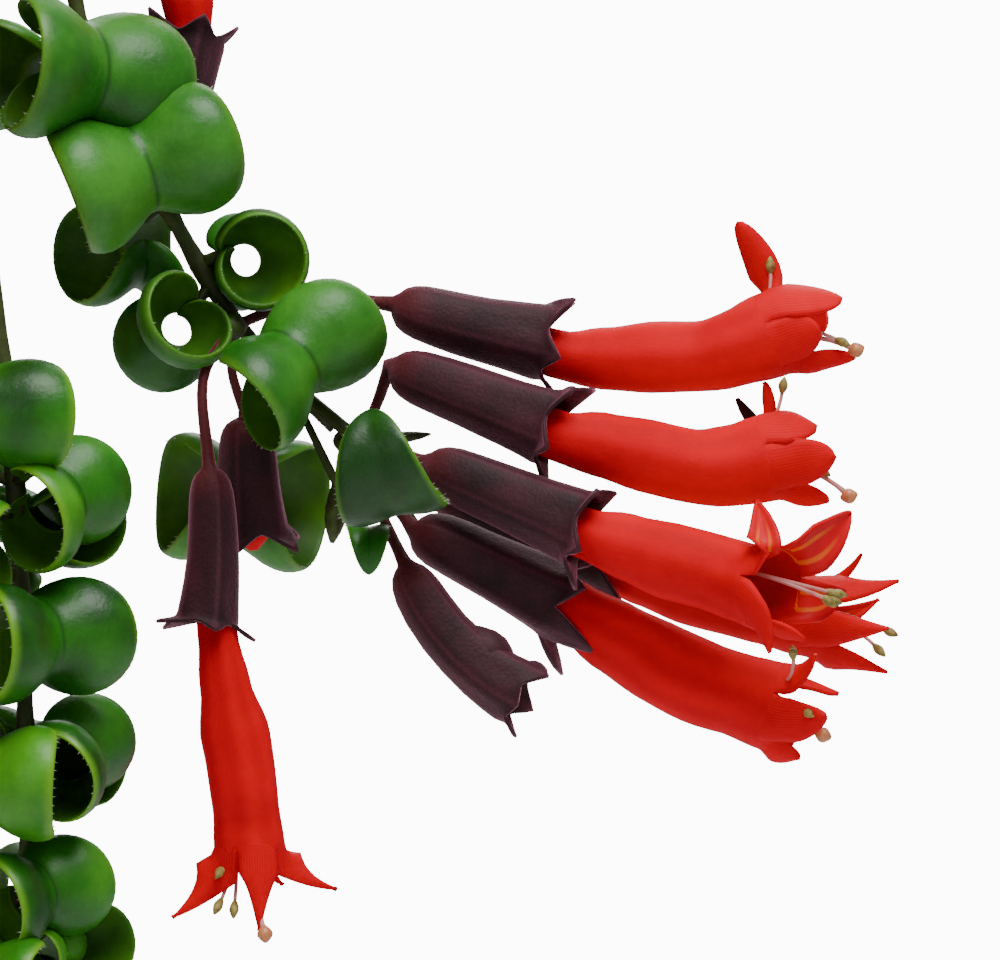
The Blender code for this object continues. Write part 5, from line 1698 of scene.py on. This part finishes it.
soil_low = base_z + POT_WALL + GAP
soil_top = RIM_Z - SOIL_BELOW_RIM
low = POT_BASE_RADIUS - POT_WALL - 1.5 * GAP
high = low + slope * (soil_top - soil_low)


def soil_height(x, y):
    """The top of the soil at this place, below the solid's own dome."""
    away = math.hypot(x, y) / high
    coarse = noise.noise(Vector((x, y, 0)) / (9 * MM)) * 0.8
    fine = noise.noise(Vector((x, y, 0.1)) / (2.6 * MM)) * 0.7
    return soil_top + 2.2 * MM * (1 - away) + (coarse + fine - 0.7) * MM * min(1, 4 * (1 - away) + 0.3)


verts = [Vector((0, 0, soil_height(0, 0)))]
for ring in range(1, SOIL_RINGS + 1):
    for cos, sin in circle(SOIL_SIDES):
        x, y = high * ring / SOIL_RINGS * cos, high * ring / SOIL_RINGS * sin
        verts.append(Vector((x, y, soil_height(x, y))))
verts += [Vector((low * cos, low * sin, soil_low)) for cos, sin in circle(SOIL_SIDES)]
foot = len(verts) - SOIL_SIDES
verts.append(Vector((0, 0, soil_low)))
faces = between(1, SOIL_RINGS + 1, SOIL_SIDES, turned=True)
for k in range(SOIL_SIDES):
    m = (k + 1) % SOIL_SIDES
    faces += [(0, 1 + k, 1 + m), (foot + k, len(verts) - 1, foot + m)]
soil = shell("Soil_mix", verts, faces, [peat])
stands_for(soil, "soil")
stem_holes = [Vector((route[0].x, route[0].y, soil_top)) for route in routes.values()]
bore(soil, stem_holes, HOLE_RADIUS, 2 * HOLE_DEPTH, 12)
print("soil faces:", len(soil.data.polygons))

# %% Grains of bark and perlite
GRAIN_COUNT = 420
WHITE_SHARE = 0.3
BARK, WHITE = range(2)

chance = random.Random("grains")
grains = Body()
lump_count = 0
while lump_count < GRAIN_COUNT:
    reach = high * math.sqrt(chance.random()) * 0.97
    turn = chance.uniform(0, 2 * math.pi)
    x, y = reach * math.cos(turn), reach * math.sin(turn)
    size = chance.uniform(0.5, 1.5) * MM
    if min(math.hypot(x - hole.x, y - hole.y) for hole in stem_holes) < HOLE_RADIUS + 2 * size:
        continue
    centre = Vector((x, y, soil_height(x, y) + 0.1 * size))
    ahead = Vector((chance.uniform(-1, 1), chance.uniform(-1, 1), chance.uniform(-0.3, 0.3))).normalized()
    look, length, radius = (WHITE, 1.6, 0.75) if chance.random() < WHITE_SHARE else (BARK, 2.6, 0.5)
    grains.blob(centre, ahead, size * length, size * radius, look, (0, 0, 0.5), 6)
    lump_count += 1
stands_for(grains.made_object("Soil_grains", [peat, perlite], smooth=False), "soil")
print("soil grains:", lump_count)

# %% [markdown]
# ## Wire hanger
# The hook and strands are galvanised wire, cold-bent: a round section, even bends, and ends cut square with a
# slight burr. Each is a tube along its own bends, with many more sides and steps than its solid has. A small
# weld closes the eye. The strands hook over the eye above and through the rim's holes below.

# %% Hook
HOOK_WIRE_RADIUS = 1.6 * MM
HOOK_INNER_RADIUS = 14 * MM
EYE_STEPS = 72
HOOK_SIDES = 16
RIGHT = Vector((1, 0, 0))


def arc(centre, radius, start, end, count, across):
    """Points on an upright arc, with its turns in degrees."""
    turns = [math.radians(start + (end - start) * i / (count - 1)) for i in range(count)]
    return [centre + across * (radius * math.cos(turn)) + UP * (radius * math.sin(turn)) for turn in turns]


def wire(points, radius, sides):
    """A round wire with softly rounded cut ends."""
    body = Body()
    tip = (points[0] - points[1]).normalized() * 0.15 * radius
    end = (points[-1] - points[-2]).normalized() * 0.15 * radius
    points = [points[0] + tip * 0.5, points[0] - tip, *points[1:-1], points[-1] - end, points[-1] + end * 0.5]
    body.tube(points, [radius * 0.86, *[radius] * (len(points) - 2), radius * 0.86], sides, 0)
    return body


line = HOOK_INNER_RADIUS + HOOK_WIRE_RADIUS
eye = Vector((0, 0, EYE_CENTRE_Z))
*crook, crook_end = arc(Vector((0, 0, -HOOK_INNER_RADIUS)), line, 205, -60, 60, RIGHT)
neck = Vector((0, 0, EYE_CENTRE_Z + EYE_RADIUS + 3 * MM))
shank = [crook_end, Vector((3.4 * MM, 0, -HOOK_INNER_RADIUS - line * 1.02)), neck, eye + UP * EYE_RADIUS]
hook = wire([*crook, *bent(shank, 4 * MM, 7)], HOOK_WIRE_RADIUS, HOOK_SIDES)
loops = []
for point in arc(eye, EYE_RADIUS, 0, 360 - 360 / EYE_STEPS, EYE_STEPS, RIGHT):
    out = (point - eye).normalized()
    side = Vector((0, 1, 0))
    loops.append([point + (side * cos + out * sin) * HOOK_WIRE_RADIUS for cos, sin in circle(HOOK_SIDES)])
loops.append(loops[0])
hook.skin(loops, [[PLAIN_FORM] * HOOK_SIDES for _ in loops], lambda r, i: 0)
hook.blob(eye + UP * (EYE_RADIUS + 1.3 * MM), UP, 4.6 * MM, 2.3 * MM, 0, (0, 0, 0.5), 14)
stands_for(hook.made_object("Hook_wire", [zinc]), "hook")

# %% Strands
EYE_SPACING = 3.6 * MM
TOE = ((2.2, -1.0), (5.7, 0.2), (6.2, 6.2))

for number, azimuth in enumerate(STRAND_AZIMUTHS):
    out = polar(azimuth, 1.0, 0)
    offset = (number - 1) * EYE_SPACING
    drop = EYE_RADIUS - math.sqrt(EYE_RADIUS**2 - offset**2)
    saddle = Vector((offset, 0, EYE_CENTRE_Z - EYE_RADIUS + drop))
    front = Vector((0, 1 if out.y > 0 else -1, 0))
    over = arc(saddle, HOOK_WIRE_RADIUS + STRAND_RADIUS + GAP, 180, 0, 22, front)
    foot = polar(azimuth, STRAND_HOLE_AT, below_flange - STRAND_RADIUS - GAP)
    toe = [foot + out * aside * MM + UP * rise * MM for aside, rise in TOE]
    above = foot + UP * 9 * MM - out * 0.9 * MM
    lower = bent([over[-1], over[-1] - UP * 3 * MM, above, foot, *toe], 1.8 * MM, 6)
    strand = wire([over[0] - UP * 9 * MM, *over, *lower[1:]], STRAND_RADIUS, 14)
    stands_for(strand.made_object(f"Strand_wire_{number + 1}", [zinc]), f"strand_{number + 1}")
print("wires: hook and", len(STRAND_AZIMUTHS), "strands")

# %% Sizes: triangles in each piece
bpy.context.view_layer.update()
triangles = {}
for obj in bpy.data.objects:
    if obj.type == "MESH" and not obj.hide_render:
        obj.data.calc_loop_triangles()
        triangles[obj.name] = len(obj.data.loop_triangles)
largest = max(triangles, key=triangles.get)
print("triangles:", sum(triangles.values()), "most in one piece:", largest, triangles[largest])
